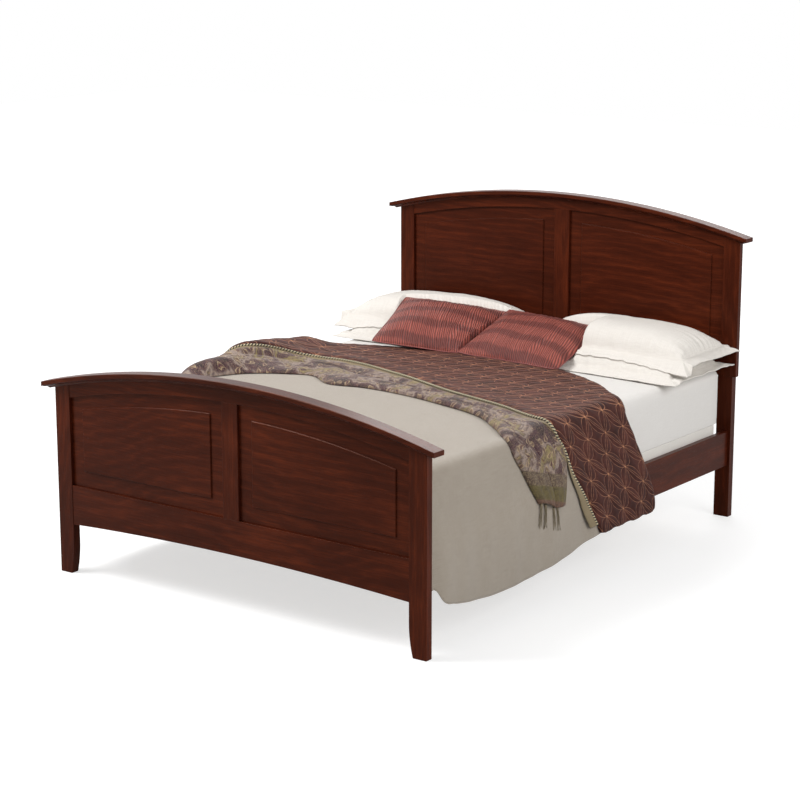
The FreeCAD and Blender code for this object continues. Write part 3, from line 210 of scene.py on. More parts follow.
# ---- materials ------------------------------------------------------------------------------------
def wood(name, along, dark, middle, light, rough=0.3, ring=46, figure=0.07, shine=0.15,
         tint=(1, 0.46, 0.3, 1)):
    """Varnished timber, its grain along axis 0, 1 or 2; the rings are cut at a slant, so they arch."""
    shade = Shade(name, Specular_IOR_Level=shine, Specular_Tint=tint)
    place = shade.place()
    run = place.pop(along)
    across, deep = place if along != 1 else (place[1], place[0])
    seed = shade.random() * 40
    sway = shade.noise(run * 1.1 + seed, across * 1.7, seed, detail=2)
    lift = shade.noise(run * 0.7, across * 0.9, seed + 9, detail=1)
    far = across + (sway - 0.5) * 0.3
    near = deep + 0.04 + lift * 0.3
    radius = (far * far + near * near).root()
    wobble = shade.noise(run * 7, across * 26, deep * 26 + seed, detail=3)
    turns = radius * ring + wobble * 1.6 + seed
    band = (turns.frac() * 2 - 1).abs().power(1.6)
    fibre = shade.noise(run * 9, across * 420, deep * 420, detail=4, rough=0.7)
    streak = shade.noise(run * 2.2 + seed, across * 55, deep * 55, detail=3)
    pores = shade.noise(run * 30 + seed, across * 900, deep * 900, detail=1).ramp(0.62, 0.75)
    flame = shade.noise(run * 4.6 + seed, across * 11, deep * 11, detail=4, distortion=0.4)
    cloud = shade.noise(run * 1.4 + seed, across * 2.6, deep * 2.6, detail=2)
    tone = (band * figure + fibre * 0.36 + streak * 0.16 + flame * 0.2
            + cloud * (0.28 - figure))
    colour = shade.colours(tone, (0.28, dark), (0.48, middle), (0.70, light))
    colour = shade.mix(pores * 0.6, colour, dark)
    gloss = fibre * 0.14 + (rough - 0.07)
    return shade.finish(colour, gloss, fibre * 0.6 - pores, 0.00012, 0.0015)


def steel(name, colour, rough=0.38):
    shade = Shade(name, Metallic=1.0)
    cloud = shade.grain(180, 4)
    return shade.finish(shade.mix(cloud, colour, tuple(c * 0.72 for c in colour[:3]) + (1,)),
                        cloud * 0.25 + (rough - 0.12), cloud, 0.0001, 0.0008)


def nylon(name):
    shade = Shade(name)
    grain = shade.grain(900)
    colour = shade.mix(grain, srgb(38, 38, 40), srgb(56, 56, 58))
    return shade.finish(colour, grain * 0.2 + 0.4, grain, 0.0001, 0.001)


def weave(shade, x, y, pitch):
    """Height of a plain weave with uneven threads, pitch metres apart."""
    slubs = shade.noise(x * 55, y * 900, detail=1) + shade.noise(x * 900, y * 55, detail=1)
    over = (x * (math.pi / pitch)).sin() * (y * (math.pi / pitch)).sin()
    return over.abs() * 0.5 + slubs * 0.35


def linen(name, light, dark, sheen, coarse=1.0):
    """Plain woven linen with slubs, on cloth coordinates in metres."""
    shade = Shade(name, Sheen_Weight=sheen, Sheen_Roughness=0.5)
    x, y, _ = shade.place("UV")
    height = weave(shade, x, y, 0.0011 * coarse)
    cloud = shade.noise(x * 5, y * 5, detail=3)
    slubs = (shade.noise(x * 18, y * 620, detail=2) + shade.noise(x * 620, y * 18, detail=2)) * 0.5
    colour = shade.mix(slubs.ramp(0.36, 0.64) * 0.6 + cloud * 0.4, dark, light)
    return shade.finish(colour, cloud * 0.1 + 0.8, height, 0.0005)


def ticking(name):
    """Off-white damask ticking with narrow grey stripes and quilting dimples."""
    shade = Shade(name, Sheen_Weight=0.15)
    x, y, z = shade.place()
    stripe = ((x + y) * 40).frac()
    line = ((stripe - 0.5).abs()).ramp(0.44, 0.47)
    thread = (z * 2600).sin() * ((x + y) * 2600).sin()
    colour = shade.mix(line * 0.6, srgb(226, 222, 212), srgb(168, 170, 176))
    cloud = shade.grain(30)
    return shade.finish(colour, cloud * 0.2 + 0.7, thread * 0.2 + cloud, 0.0008)


WOODS = {
    axis: wood(f"cherry_{letter}", axis, srgb(34, 10, 5), srgb(64, 24, 12), srgb(104, 44, 22))
    for axis, letter in enumerate("xyz")
}
PINES = {
    axis: wood(f"pine_{letter}", axis, srgb(186, 142, 92), srgb(214, 176, 124), srgb(232, 202, 156),
               rough=0.6, figure=0.25, shine=0.3, tint=(1, 1, 1, 1))
    for axis, letter in enumerate("xyz")
}
ZINC = steel("zinc_steel", srgb(182, 184, 188))
DARK_STEEL = steel("dark_steel", srgb(96, 94, 92), 0.45)
NYLON = nylon("nylon_black")
TICKING = ticking("ticking_stripe")
COVER_LINEN = linen("greige_linen", srgb(168, 157, 143), srgb(146, 134, 119), sheen=0.4)
WHITE_LINEN = linen("white_linen", srgb(235, 230, 223), srgb(222, 216, 208), sheen=0.06)
SHEET_LINEN = linen("sheet_cotton", srgb(236, 233, 229), srgb(228, 224, 219), sheen=0.05, coarse=0.7)
FOUNDATION_COVER = linen("foundation_cotton", srgb(232, 228, 222), srgb(220, 215, 207), sheen=0.05)


def quilt_cloth():
    """Brown cotton sateen sewn with stars of four leaves, each leaf drawn twice."""
    shade = Shade("stitched_quilt", Sheen_Weight=0.03, Sheen_Roughness=0.4, Specular_IOR_Level=0.14)
    x, y, _ = shade.place("UV")
    thread = None
    # on top of the bed the light thread lines are drawn wider: a painted highlight, where the stitches
    # catch the light
    top_highlight_width = shade.place()[2].ramp(0.585, 0.615, 1, 1.6)
    for along, aside, size in ((x, y, top_highlight_width * 0.0052), (y, x, top_highlight_width * 0.0080)):
        off = (aside - (aside + 0.5).floor()).abs()
        t = along.frac()
        leaf = t * (1 - t) * 4
        for width in (0.27, 0.055):
            line = (2.1 - (off - leaf * width).abs() / size).ramp(0, 1.2)
            thread = line if thread is None else thread.max(line)
    dx = (x + 0.5).frac() - 0.5
    dy = (y + 0.5).frac() - 0.5
    knot = (dx * dx * 0.4 + dy * dy).root().ramp(0.01, 0.034, 1, 0)
    cloud, fine = shade.grain(14, 3), shade.grain(160, 3)
    base = shade.colours(cloud * 0.6 + fine * 0.4, (0.34, srgb(44, 22, 19)), (0.5, srgb(64, 33, 28)),
                         (0.68, srgb(88, 49, 41)))
    dashes = ((x + y * 0.6) * 26).sin().ramp(-0.9, 0.1, 0.6, 1)
    colour = shade.over(base, (thread * dashes * 0.8, srgb(168, 116, 90)),
                        (knot * 0.9, srgb(214, 158, 112)))
    return shade.finish(colour, fine * 0.2 + 0.52, thread * -0.8 + fine * 0.25 + knot, 0.0012)


def paisley():
    """Shawl cloth: plum, olive and grey grounds with curled leaves, dots and tendrils."""
    shade = Shade("paisley_shawl", Sheen_Weight=0.1, Sheen_Roughness=0.4, Specular_IOR_Level=0.3)
    x, y, _ = shade.place("UV")
    ground = shade.noise(x * 9 + 1.7, y * 10, 3, detail=3, distortion=0.7)
    mottle = shade.noise(x * 45, y * 45, detail=3)
    tone = ground + (mottle - 0.5) * 0.14
    grounds = shade.colours(tone, (0.38, srgb(36, 15, 22)), (0.45, srgb(64, 35, 44)),
                            (0.49, srgb(80, 60, 60)), (0.53, srgb(150, 134, 124)),
                            (0.57, srgb(84, 66, 60)), (0.62, srgb(138, 124, 80)),
                            (0.67, srgb(70, 48, 52)))
    leaves_per_metre = 21
    cx, cy = x * leaves_per_metre, y * leaves_per_metre
    centre = shade.scatter(cx, cy, 0.8)
    px, py, _ = shade.split(centre.outputs["Position"])
    dx, dy = cx - px, cy - py
    # two random numbers for each leaf: its colour and the way it points
    random = shade.add("ShaderNodeSeparateColor", Color=centre.outputs["Color"])
    pick, turn = (Num(shade, random.outputs[k]) for k in (0, 1))
    angle = turn * (2 * math.pi)
    cos, sin = angle.cos(), angle.sin()
    lx, ly = dx * cos + dy * sin, dy * cos - dx * sin
    # a leaf whose tip curls over: its middle line bends more and more towards the tip
    tip = (ly + 0.12).max(0)
    bend = lx - tip * tip * 2.6 + 0.05
    width = (ly + 0.33).ramp(0, 0.2) * (0.4 - ly).ramp(0, 0.66)
    leaf = bend.abs() / (width * 0.2 + 0.004)
    body = leaf.ramp(0.85, 1.0, 1, 0)
    outline = (leaf - 1.0).abs().ramp(0.12, 0.4, 1, 0)
    inner = (leaf - 0.5).abs().ramp(0.06, 0.2, 1, 0) * body
    tendril = ((dx * dx + dy * dy).root() * 38 + angle * 1.3).sin().ramp(0.6, 0.95)
    sprig = shade.noise(x * 100, y * 100, detail=2, distortion=1.8)
    lines = (sprig - 0.5).abs().ramp(0.006, 0.024, 1, 0)
    specks, cells = (Num(shade, shade.scatter(x * fine, y * fine).outputs["Distance"])
                     for fine in (230, 300))
    specks, cells = specks.ramp(0.16, 0.3, 1, 0), cells.ramp(0.15, 0.5)
    leaf_tone = shade.colours(pick, (0.0, srgb(62, 32, 42)), (0.4, srgb(84, 50, 58)),
                              (0.6, srgb(120, 100, 84)), (0.85, srgb(90, 62, 56)))
    colour = shade.over(grounds, (lines * 0.6 + tendril * 0.1, srgb(176, 146, 116)),
                        (body * 0.8, leaf_tone), (outline * 0.72, srgb(182, 160, 126)),
                        (inner * 0.6, srgb(150, 122, 84)), (specks * 0.5, srgb(50, 32, 34)))
    # woven borders near the shawl's ends, by distance from the bed's middle
    off = x.abs() + (shade.noise(x * 30, y * 30) - 0.5) * 0.006 - (y + 0.27) * 0.28
    cream = shade.mix(cells, srgb(172, 154, 118), srgb(80, 62, 52))
    olive = shade.mix(cells * mottle * 1.6, srgb(122, 110, 66), srgb(72, 60, 38))
    rose = shade.mix(cells, srgb(144, 110, 86), srgb(92, 68, 56))
    colour = shade.over(colour, (off.ramp(0.9, 0.908), cream), (off.ramp(0.95, 0.956), olive),
                        (off.ramp(1.0, 1.006), rose))
    fine = shade.noise(x * 900, y * 900, detail=2)
    return shade.finish(colour, fine * 0.2 + 0.5, outline * 0.4 + fine + body * 0.3 + mottle, 0.0014)


def pleated():
    """Brick red silk in fine pleats, with painted shade in each pleat's hollow, woven with broad darker
    bands.
    """
    shade = Shade("pleated_silk", Sheen_Weight=0.06, Specular_IOR_Level=0.3)
    x, y, _ = shade.place("UV")
    wave = shade.noise(x * 6, y * 3, detail=2)
    band_pitch, pleat_pitch = 0.088, 0.0088
    stripe = ((y + 0.012 + (wave - 0.5) * 0.07) * (1 / band_pitch)).frac()
    ragged = shade.noise(x * 240, y * 14, detail=2)
    dark_band = ((stripe - 0.5).abs() + (ragged - 0.5) * 0.1).ramp(0.12, 0.3, 1, 0)
    drift = shade.noise(x * 16, y * 5, detail=2)
    pleat = ((x + (drift - 0.5) * 0.03 + y * 0.2) * (2 * math.pi / pleat_pitch)).sin()
    strand = shade.noise(x * 700, y * 30, detail=3)
    broad = shade.noise(x * 9, y * 9, detail=2)
    base = shade.mix(strand * 0.6 + broad * 0.4, srgb(120, 46, 40), srgb(200, 112, 96))
    base = shade.mix(dark_band * 0.6, base, srgb(88, 36, 34))
    # painted shade: each pleat's hollow is darkened in the colour
    colour = shade.mix(pleat.ramp(-0.4, 0.9, 0, 0.74) * (strand * 0.7 + 0.6), base, srgb(50, 16, 16))
    return shade.finish(colour, strand * 0.2 + 0.36, -pleat + strand * 0.4, 0.0016)


def plain_cloth(name, light, dark, rough, scale=900):
    shade = Shade(name, Sheen_Weight=0.08)
    fine, wide = shade.grain(scale), shade.grain(40)
    return shade.finish(shade.mix(fine * 0.6 + wide * 0.4, dark, light), fine * 0.2 + (rough - 0.1),
                        fine, 0.0004)


QUILT_CLOTH = quilt_cloth()
PAISLEY = paisley()
SILK = pleated()
FACING = plain_cloth("olive_facing", srgb(146, 130, 98), srgb(104, 88, 62), 0.5)
CREAM_CORD = plain_cloth("cream_cord", srgb(226, 214, 178), srgb(190, 176, 138), 0.6, 1500)
BLACK_CORD = plain_cloth("black_cord", srgb(46, 40, 36), srgb(26, 22, 20), 0.55, 1500)
TASSEL = plain_cloth("tassel_thread", srgb(156, 142, 112), srgb(84, 70, 56), 0.55, 1400)
TAPE = plain_cloth("edge_tape", srgb(214, 210, 200), srgb(190, 186, 176), 0.7)
SILK_EDGE = plain_cloth("silk_edge", srgb(140, 64, 58), srgb(104, 44, 42), 0.5)

CHERRY_ALONG = {
    0: ["top_rail", "bottom_rail", "cap", "cove", "panel"],
    1: ["side_rail"],
    2: ["post", "stile", "leg"],
}
# the finish of every other kind, by a part of its name; the first that fits is taken
FINISHES = [("cleat", PINES[1]), ("centre_beam", PINES[1]), ("slat_0", PINES[0]), ("slat_1", PINES[0]),
            ("centre_leg", PINES[2]), ("levelling_foot", NYLON), ("ferrule", ZINC), ("insert", ZINC),
            ("screws", ZINC), ("plates", DARK_STEEL), ("bolts", DARK_STEEL)]


def dress_frame():
    """Gives each CAD node the finish its kind has."""
    for name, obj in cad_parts.items():
        chosen = next((finish for part, finish in FINISHES if part in name), None)
        if chosen is None:
            axis = [k for k, ends in CHERRY_ALONG.items() if name.endswith(tuple(ends))]
            chosen = WOODS[axis[-1] if axis else 2]
        obj.data.materials.clear()
        obj.data.materials.append(chosen)


# ---- mesh helpers ---------------------------------------------------------------------------------
def mesh_object(name, verts, faces, material, uv=None):
    """A piece from points and faces; uv is one cloth coordinate for each point."""
    mesh = bpy.data.meshes.new(name)
    mesh.from_pydata([tuple(v) for v in verts], [], [tuple(int(i) for i in f) for f in faces])
    mesh.validate()
    if uv is not None:
        layer = mesh.uv_layers.new(name="cloth")
        index = np.empty(len(mesh.loops), dtype=np.int32)
        mesh.loops.foreach_get("vertex_index", index)
        layer.data.foreach_set("uv", np.asarray(uv, dtype=np.float32)[index].ravel())
    bm = bmesh.new()
    bm.from_mesh(mesh)
    bmesh.ops.recalc_face_normals(bm, faces=bm.faces)
    bm.to_mesh(mesh)
    bm.free()
    mesh.polygons.foreach_set("use_smooth", [True] * len(mesh.polygons))
    mesh.materials.append(material)
    obj = bpy.data.objects.new(name, mesh)
    bpy.context.scene.collection.objects.link(obj)
    return obj


def grid_faces(rows, columns, start=0, closed=False):
    index = start + np.arange(rows * columns).reshape(rows, columns)
    if closed:
        index = np.hstack([index, index[:, :1]])
    quads = np.stack([index[:-1, :-1], index[1:, :-1], index[1:, 1:], index[:-1, 1:]], -1)
    return quads.reshape(-1, 4)


def unit(vectors, tiny=1e-12):
    return vectors / (np.linalg.norm(vectors, axis=-1)[..., None] + tiny)


def rim_of(grid):
    """The outermost entries of a grid, in order round it."""
    return np.concatenate([grid[:, 0], grid[-1, 1:], grid[-2::-1, -1], grid[0, -2:0:-1]])


def shell(name, outer, inner, uv, material):
    """A closed piece between two grids of points, joined round the edge."""
    rows, columns = outer.shape[:2]
    count = rows * columns
    ring = rim_of(np.arange(count).reshape(rows, columns))
    after = np.roll(ring, -1)
    rim = np.stack([ring, after, after + count, ring + count], -1)
    faces = np.vstack([grid_faces(rows, columns), grid_faces(rows, columns, count)[:, ::-1], rim])
    verts = np.concatenate([outer.reshape(-1, 3), inner.reshape(-1, 3)])
    flat = uv.reshape(-1, 2)
    return mesh_object(name, verts, faces, material, np.concatenate([flat, flat]))


def tube_parts(path, radius, sides=8, closed=False, up=None):
    """Points and faces of a tube along a path; radius is one number or one for each point."""
    path = np.asarray(path, float)
    if closed:
        ahead = np.roll(path, -1, 0) - np.roll(path, 1, 0)
    else:
        ahead = np.gradient(path, axis=0)
    ahead = unit(ahead)
    if up is None:
        up = np.tile([0.0, 0.0, 1.0], (len(path), 1))
        steep = np.abs(ahead[:, 2]) > 0.95
        up[steep] = [1.0, 0.0, 0.0]
    side = unit(np.cross(ahead, up))
    top = np.cross(side, ahead)
    angles = np.linspace(0, 2 * math.pi, sides, endpoint=False)
    radius = np.broadcast_to(np.asarray(radius, float), (len(path),))
    ring = (side[:, None] * np.cos(angles)[None, :, None]
            + top[:, None] * np.sin(angles)[None, :, None]) * radius[:, None, None]
    verts = (path[:, None] + ring)
    rows = len(path)
    if closed:
        verts = np.concatenate([verts, verts[:1]])
        rows += 1
    faces = [tuple(f) for f in grid_faces(rows, sides, closed=True)]
    if not closed:
        faces += [tuple(range(sides)), tuple(range((rows - 1) * sides, rows * sides))]
    return verts.reshape(-1, 3), faces


def tube(name, path, radius, sides, material, **form):
    return mesh_object(name, *tube_parts(path, radius, sides, **form), material)


def joined(name, parts, material):
    """One piece from several separate closed forms."""
    verts, faces, start = [], [], 0
    for points, polygons in parts:
        verts.append(points)
        faces += [tuple(i + start for i in f) for f in polygons]
        start += len(points)
    return mesh_object(name, np.concatenate(verts), faces, material)


def finish_piece(obj, slot, *nodes):
    """Every soft piece rides on the root; some take the place of CAD nodes."""
    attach(obj, "root")
    if nodes:
        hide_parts(*nodes)
    return obj


# ---- the line that cloth follows over the bed ---------------------------------------------------
HALF_TOP = 0.72
EDGE_Z = 0.567
EDGE_RADIUS = 0.046
TOP_Z = 0.6130
CROWN = 0.006
SIDE_POINTS = [(.765, .5766), (.7775, .52), (.791, .44), (.812, .352), (.8165, .25), (.818, .15),
               (.8185, .08)]


def drape_line():
    """Distance from the bed's middle, x, z and the way out of the cloth, from middle to floor."""
    x = np.linspace(0, HALF_TOP, 60)
    points = list(zip(x, TOP_Z + CROWN * (1 - (x / HALF_TOP) ** 2)))
    for t in np.radians(np.linspace(85, 12, 12)):
        points.append((HALF_TOP + EDGE_RADIUS * math.cos(t), EDGE_Z + EDGE_RADIUS * math.sin(t)))
    key = np.array(SIDE_POINTS)
    key = np.vstack([key[0] * 2 - key[1], key, key[-1] * 2 - key[-2]])
    for i in range(1, len(key) - 2):
        a, b, c, d = key[i - 1:i + 3]
        for t in np.linspace(0, 1, 12, endpoint=False):
            points.append(tuple(0.5 * (2 * b + (c - a) * t + (2 * a - 5 * b + 4 * c - d) * t * t
                                       + (3 * b - a - 3 * c + d) * t ** 3)))
    points = np.array(points)
    step = np.diff(points, axis=0)
    far = np.concatenate([[0], np.cumsum(np.hypot(step[:, 0], step[:, 1]))])
    ahead = unit(np.gradient(points, axis=0), 0)
    return far, points[:, 0], points[:, 1], -ahead[:, 1], ahead[:, 0]


LINE = drape_line()


def on_bed(s, y, out):
    """Point at cloth distance s from the bed's middle, out from the draped line."""
    far = np.abs(s)
    x, z, nx, nz = (np.interp(far, LINE[0], LINE[k]) for k in (1, 2, 3, 4))
    return np.stack([np.sign(s) * (x + nx * out), y + 0 * x, z + nz * out], -1)


def edge(points):
    """A smooth function y(s) through measured points."""
    points = np.array(sorted(points))
    s, y = points[:, 0], points[:, 1]
    slope = np.gradient(y, s)

    def value(at):
        at = np.clip(at, s[0], s[-1])
        i = np.clip(np.searchsorted(s, at) - 1, 0, len(s) - 2)
        width = s[i + 1] - s[i]
        t = (at - s[i]) / width
        h00, h10 = 2 * t ** 3 - 3 * t ** 2 + 1, t ** 3 - 2 * t ** 2 + t
        h01, h11 = -2 * t ** 3 + 3 * t ** 2, t ** 3 - t ** 2
        return h00 * y[i] + h10 * width * slope[i] + h01 * y[i + 1] + h11 * width * slope[i + 1]
    return value


def smooth(a, b, x):
    """0 on a's side and 1 on b's, smooth between them; a may be the greater."""
    t = np.clip((x - a) / (b - a), 0, 1)
    return t * t * (3 - 2 * t)


def rounded(x):
    """A quarter of a circle: 0 at 0, and 1 from 1 on."""
    return np.sqrt(np.clip(1 - (1 - np.clip(x, 0, 1)) ** 2, 0, 1))


class Ripple:
    """Smooth repeatable noise in two directions, from a table of seeded random numbers."""
    SIZE = 64

    def __init__(self):
        self.table = RANDOM.uniform(-1, 1, (self.SIZE, self.SIZE))

    def __call__(self, u, v):
        u, v = np.asarray(u, float), np.asarray(v, float)
        i, j = np.floor(u).astype(int), np.floor(v).astype(int)
        fu, fv = u - i, v - j
        fu, fv = fu * fu * (3 - 2 * fu), fv * fv * (3 - 2 * fv)

        def pick(a, b):
            return self.table[a % self.SIZE, b % self.SIZE]
        return ((pick(i, j) * (1 - fu) + pick(i + 1, j) * fu) * (1 - fv)
                + (pick(i, j + 1) * (1 - fu) + pick(i + 1, j + 1) * fu) * fv)


RIPPLE = [Ripple() for _ in range(4)]


# ---- mattress set ---------------------------------------------------------------------------------
def rounded_block(low, high, radius, step):
    """Points and quads of a box whose edges are rounded, evenly divided."""
    low, high = np.array(low), np.array(high)
    axes = []
    for k in range(3):
        middle = np.linspace(low[k] + radius, high[k] - radius,
                             max(2, int((high[k] - low[k]) / step) + 1))
        turn = radius * (1 - np.cos(np.linspace(0, math.pi / 2, 6)))[:-1]
        axes.append(np.concatenate([low[k] + turn, middle, (high[k] - turn)[::-1]]))
    verts, faces, start = [], [], 0
    for k in range(3):
        a, b = axes[(k + 1) % 3], axes[(k + 2) % 3]
        for value in (low[k], high[k]):
            points = np.empty((len(a), len(b), 3))
            points[..., k] = value
            points[..., (k + 1) % 3] = a[:, None]
            points[..., (k + 2) % 3] = b[None, :]
            verts.append(points.reshape(-1, 3))
            faces.append(grid_faces(len(a), len(b), start))
            start += len(a) * len(b)
    verts, faces = np.concatenate(verts), np.vstack(faces)
    core = np.clip(verts, low + radius, high - radius)
    away = verts - core
    length = np.linalg.norm(away, axis=1)[:, None]
    verts = core + away / np.maximum(length, 1e-9) * radius
    unique, back = np.unique(np.round(verts, 6), axis=0, return_inverse=True)
    faces = back.reshape(-1)[faces]
    return unique, [tuple(dict.fromkeys(f)) for f in faces if len(set(f)) >= 3]


def border_path(half_x, low_y, high_y, z, radius):
    """A closed loop round a rounded rectangle."""
    points = []
    corners = [(half_x - radius, high_y - radius, 0), (-half_x + radius, high_y - radius, 90),
               (-half_x + radius, low_y + radius, 180), (half_x - radius, low_y + radius, 270)]
    for cx, cy, start in corners:
        for t in np.radians(start + np.linspace(0, 90, 14)):
            points.append((cx + radius * math.cos(t), cy + radius * math.sin(t), z))
    points = np.array(points)
    loop = np.vstack([points, points[:1]])
    length = np.concatenate([[0], np.cumsum(np.linalg.norm(np.diff(loop, axis=0), axis=1))])
    even = np.linspace(0, length[-1], 420, endpoint=False)
    return np.stack([np.interp(even, length, loop[:, k]) for k in range(3)], -1)


def crown_at(x, y, low_y, high_y, half_x):
    """Share of a mattress's crown at a point: 1 in its middle, 0 at its sides."""
    u = np.clip(np.abs(x) / half_x, 0, 1)
    v = np.clip(np.abs(y - (low_y + high_y) / 2) / ((high_y - low_y) / 2), 0, 1)
    return (1 - u ** 2) * (1 - v ** 6)


# how far the foundation's cover stands out from its node, and half the mattress's width
COVER_PROUD = 0.0085
MATTRESS_HALF = 0.7605


def make_mattress_set():
    """The foundation in its taped cover, and the mattress, whose sides are puffed in three rows."""
    low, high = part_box("foundation")
    half, y0, y1 = high[0] + COVER_PROUD, low[1] + 0.001, high[1] - 0.001
    verts, faces = rounded_block((low[0] - COVER_PROUD, y0, low[2] + 0.0003),
                                 (half, y1, high[2] - 0.0002), 0.003, 0.05)
    # cloth coordinates that run round the sides as well as over the top
    side = np.stack([verts[:, 0] + verts[:, 1], verts[:, 2]], -1)
    flat = np.abs(verts[:, 2] - high[2]) < 0.004
    side[flat] = verts[flat, :2]
    base = mesh_object("foundation_body", verts, faces, FOUNDATION_COVER, side)
    finish_piece(base, "ticking", "foundation")
    tapes = [tube_parts(border_path(half, y0, y1, low[2] + rise, 0.003), 0.0016, 8, closed=True)
             for rise in (0.012, 0.030)]
    finish_piece(joined("foundation_tape", tapes, TAPE), "ticking")

    low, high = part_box("mattress")
    half, y0, y1 = MATTRESS_HALF, low[1] + 0.002, high[1] - 0.002
    verts, faces = rounded_block((-half, y0, low[2] + 0.001), (half, y1, 0.6085), 0.038, 0.03)
    top = verts[:, 2] > 0.55
    verts[top, 2] += 0.0055 * crown_at(verts[top, 0], verts[top, 1], y0, y1, half)
    sides = np.abs(verts[:, 0]) > half - 0.004
    middle_z, tall = 0.498, 0.222
    puff = 0.0016 * np.cos((verts[:, 2] - middle_z) / tall * math.pi * 3)
    verts[sides, 0] += np.sign(verts[sides, 0]) * puff[sides]
    mattress = mesh_object("mattress_body", verts, faces, TICKING)
    finish_piece(mattress, "ticking", "mattress")


# radius in which the sheet turns under the mattress, and its thickness
SHEET_TURN = 0.003
SHEET_THICK = 0.0009


def make_fitted_sheet():
    """Thin cotton pulled over the mattress, turned under it all round in an elastic hem."""
    low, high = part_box("fitted_sheet")
    half, y0, y1 = high[0] - 0.0005, low[1] + 0.0005, high[1] - 0.0005
    top_z, bottom_z = 0.6112, low[2] + 0.0002
    radius, corner = 0.041, 0.05
    mid_y, half_y = (y0 + y1) / 2, (y1 - y0) / 2
    rows = []

    def loop(size_x, size_y, z, turn=corner):
        rows.append(border_path(size_x, mid_y - size_y, mid_y + size_y, z, turn))

    # on the top, from a small rounded rectangle outwards
    for share in np.linspace(0.0, 0.93, 22):
        inset = (1 - share) * (half - radius)
        size_x, size_y = max(half - radius - inset, 0.002), max(half_y - radius - inset, 0.27)
        loop(size_x, size_y, top_z, min(corner * share + 0.001, size_x * 0.9))
    # over the edge, down the sides and under the mattress
    for t in np.radians(np.linspace(90, 0, 8)):
        grow = radius * math.cos(t)
        loop(half - radius + grow, half_y - radius + grow, top_z - radius + radius * math.sin(t))
    for z in np.linspace(top_z - radius, bottom_z + SHEET_TURN, 14)[1:]:
        loop(half, half_y, z)
    for t in np.radians(np.linspace(0, 90, 7))[1:]:
        shift = SHEET_TURN * (1 - math.cos(t))
        loop(half - shift, half_y - shift, bottom_z + SHEET_TURN * (1 - math.sin(t)))
    outer = np.array(rows)
    flat = outer[..., 2] > top_z - 1e-6
    outer[..., 2] += np.where(outer[..., 2] > 0.55,
                              0.006 * crown_at(outer[..., 0], outer[..., 1], y0, y1, half), 0)
    # pulls: shallow upright creases on the sides, strongest at the corners
    distance = np.linspace(0, 8.9, outer.shape[1])
    depth = smooth(0.60, 0.5, outer[..., 2]) * smooth(bottom_z + 0.002, bottom_z + 0.05, outer[..., 2])
    pull = RIPPLE[0](distance * 9, outer[..., 2] * 3) * 0.5
    pull += RIPPLE[1](distance * 26, outer[..., 2] * 5) * 0.3
    away = outer[..., :2] - np.clip(outer[..., :2], [-half + .06, y0 + .06], [half - .06, y1 - .06])
    outer[..., :2] += unit(away, 1e-9) * (pull * depth * 0.0018)[..., None] * (~flat)[..., None]
    # the inside is the same form a cloth's thickness further in
    dr, dc = np.gradient(outer, axis=0), (np.roll(outer, -1, 1) - np.roll(outer, 1, 1))
    normal = unit(np.cross(dr, dc))
    centre = np.array([0, mid_y, 0.5])
    flip = np.sign(((outer - centre) * normal).sum(-1))[..., None]
    inner = outer - normal * flip * SHEET_THICK
    columns, count = outer.shape[1], outer.shape[0] * outer.shape[1]
    faces = [tuple(f) for f in grid_faces(len(outer), columns, closed=True)]
    faces += [tuple(f)[::-1] for f in grid_faces(len(outer), columns, count, closed=True)]
    last = count - columns + np.arange(columns)
    after = np.roll(last, -1)
    faces += [tuple(q) for q in np.stack([last, after, after + count, last + count], -1)]
    faces.append(tuple(range(columns)))
    faces.append(tuple(count + i for i in range(columns))[::-1])
    verts = np.concatenate([outer.reshape(-1, 3), inner.reshape(-1, 3)])
    drop = np.maximum(0, TOP_Z - outer[..., 2])
    u = outer[..., 0] + np.sign(outer[..., 0]) * drop
    v = outer[..., 1] + 0.3 * drop
    flat_uv = np.stack([u, v], -1).reshape(-1, 2)
    sheet = mesh_object("fitted_sheet_cloth", verts, faces, SHEET_LINEN, np.concatenate([flat_uv] * 2))
    finish_piece(sheet, "white_linen", "fitted_sheet")


# ---- coverlet -------------------------------------------------------------------------------------
COVERLET_HEM = edge([(-1.02, 1.135), (-0.973, 1.149), (-0.957, 1.175), (-0.891, 1.207),
                     (-0.822, 1.221), (-0.395, 1.236), (-0.173, 1.214), (-0.04, 1.192), (0.16, 1.17)])


def coverlet_out(s, y):
    """How far the coverlet stands out from the draped line."""
    hang = smooth(0.80, 1.12, np.abs(s))
    side = np.where(s > 0, 0.0, 3.7)
    fold = (np.sin((y + 0.02 * np.sin(y * 9 + side)) * 21 + side + 1.1) * 0.55
            + np.sin(y * 47 + side * 2 + 2.0) * 0.22 + RIPPLE[2](y * 16 + side, np.abs(s) * 2.2) * 0.5)
    corner = np.exp(-((y + 0.92) / 0.06) ** 2) * 1.2 - np.exp(-((y + 1.0) / 0.03) ** 2) * 0.9
    swell = RIPPLE[3](s * 3.1, y * 3.1) * 0.0008 + RIPPLE[0](s * 9, y * 9) * 0.0004
    return 0.0022 + hang * (fold * 0.0055 + corner * 0.006 + 0.002) + swell


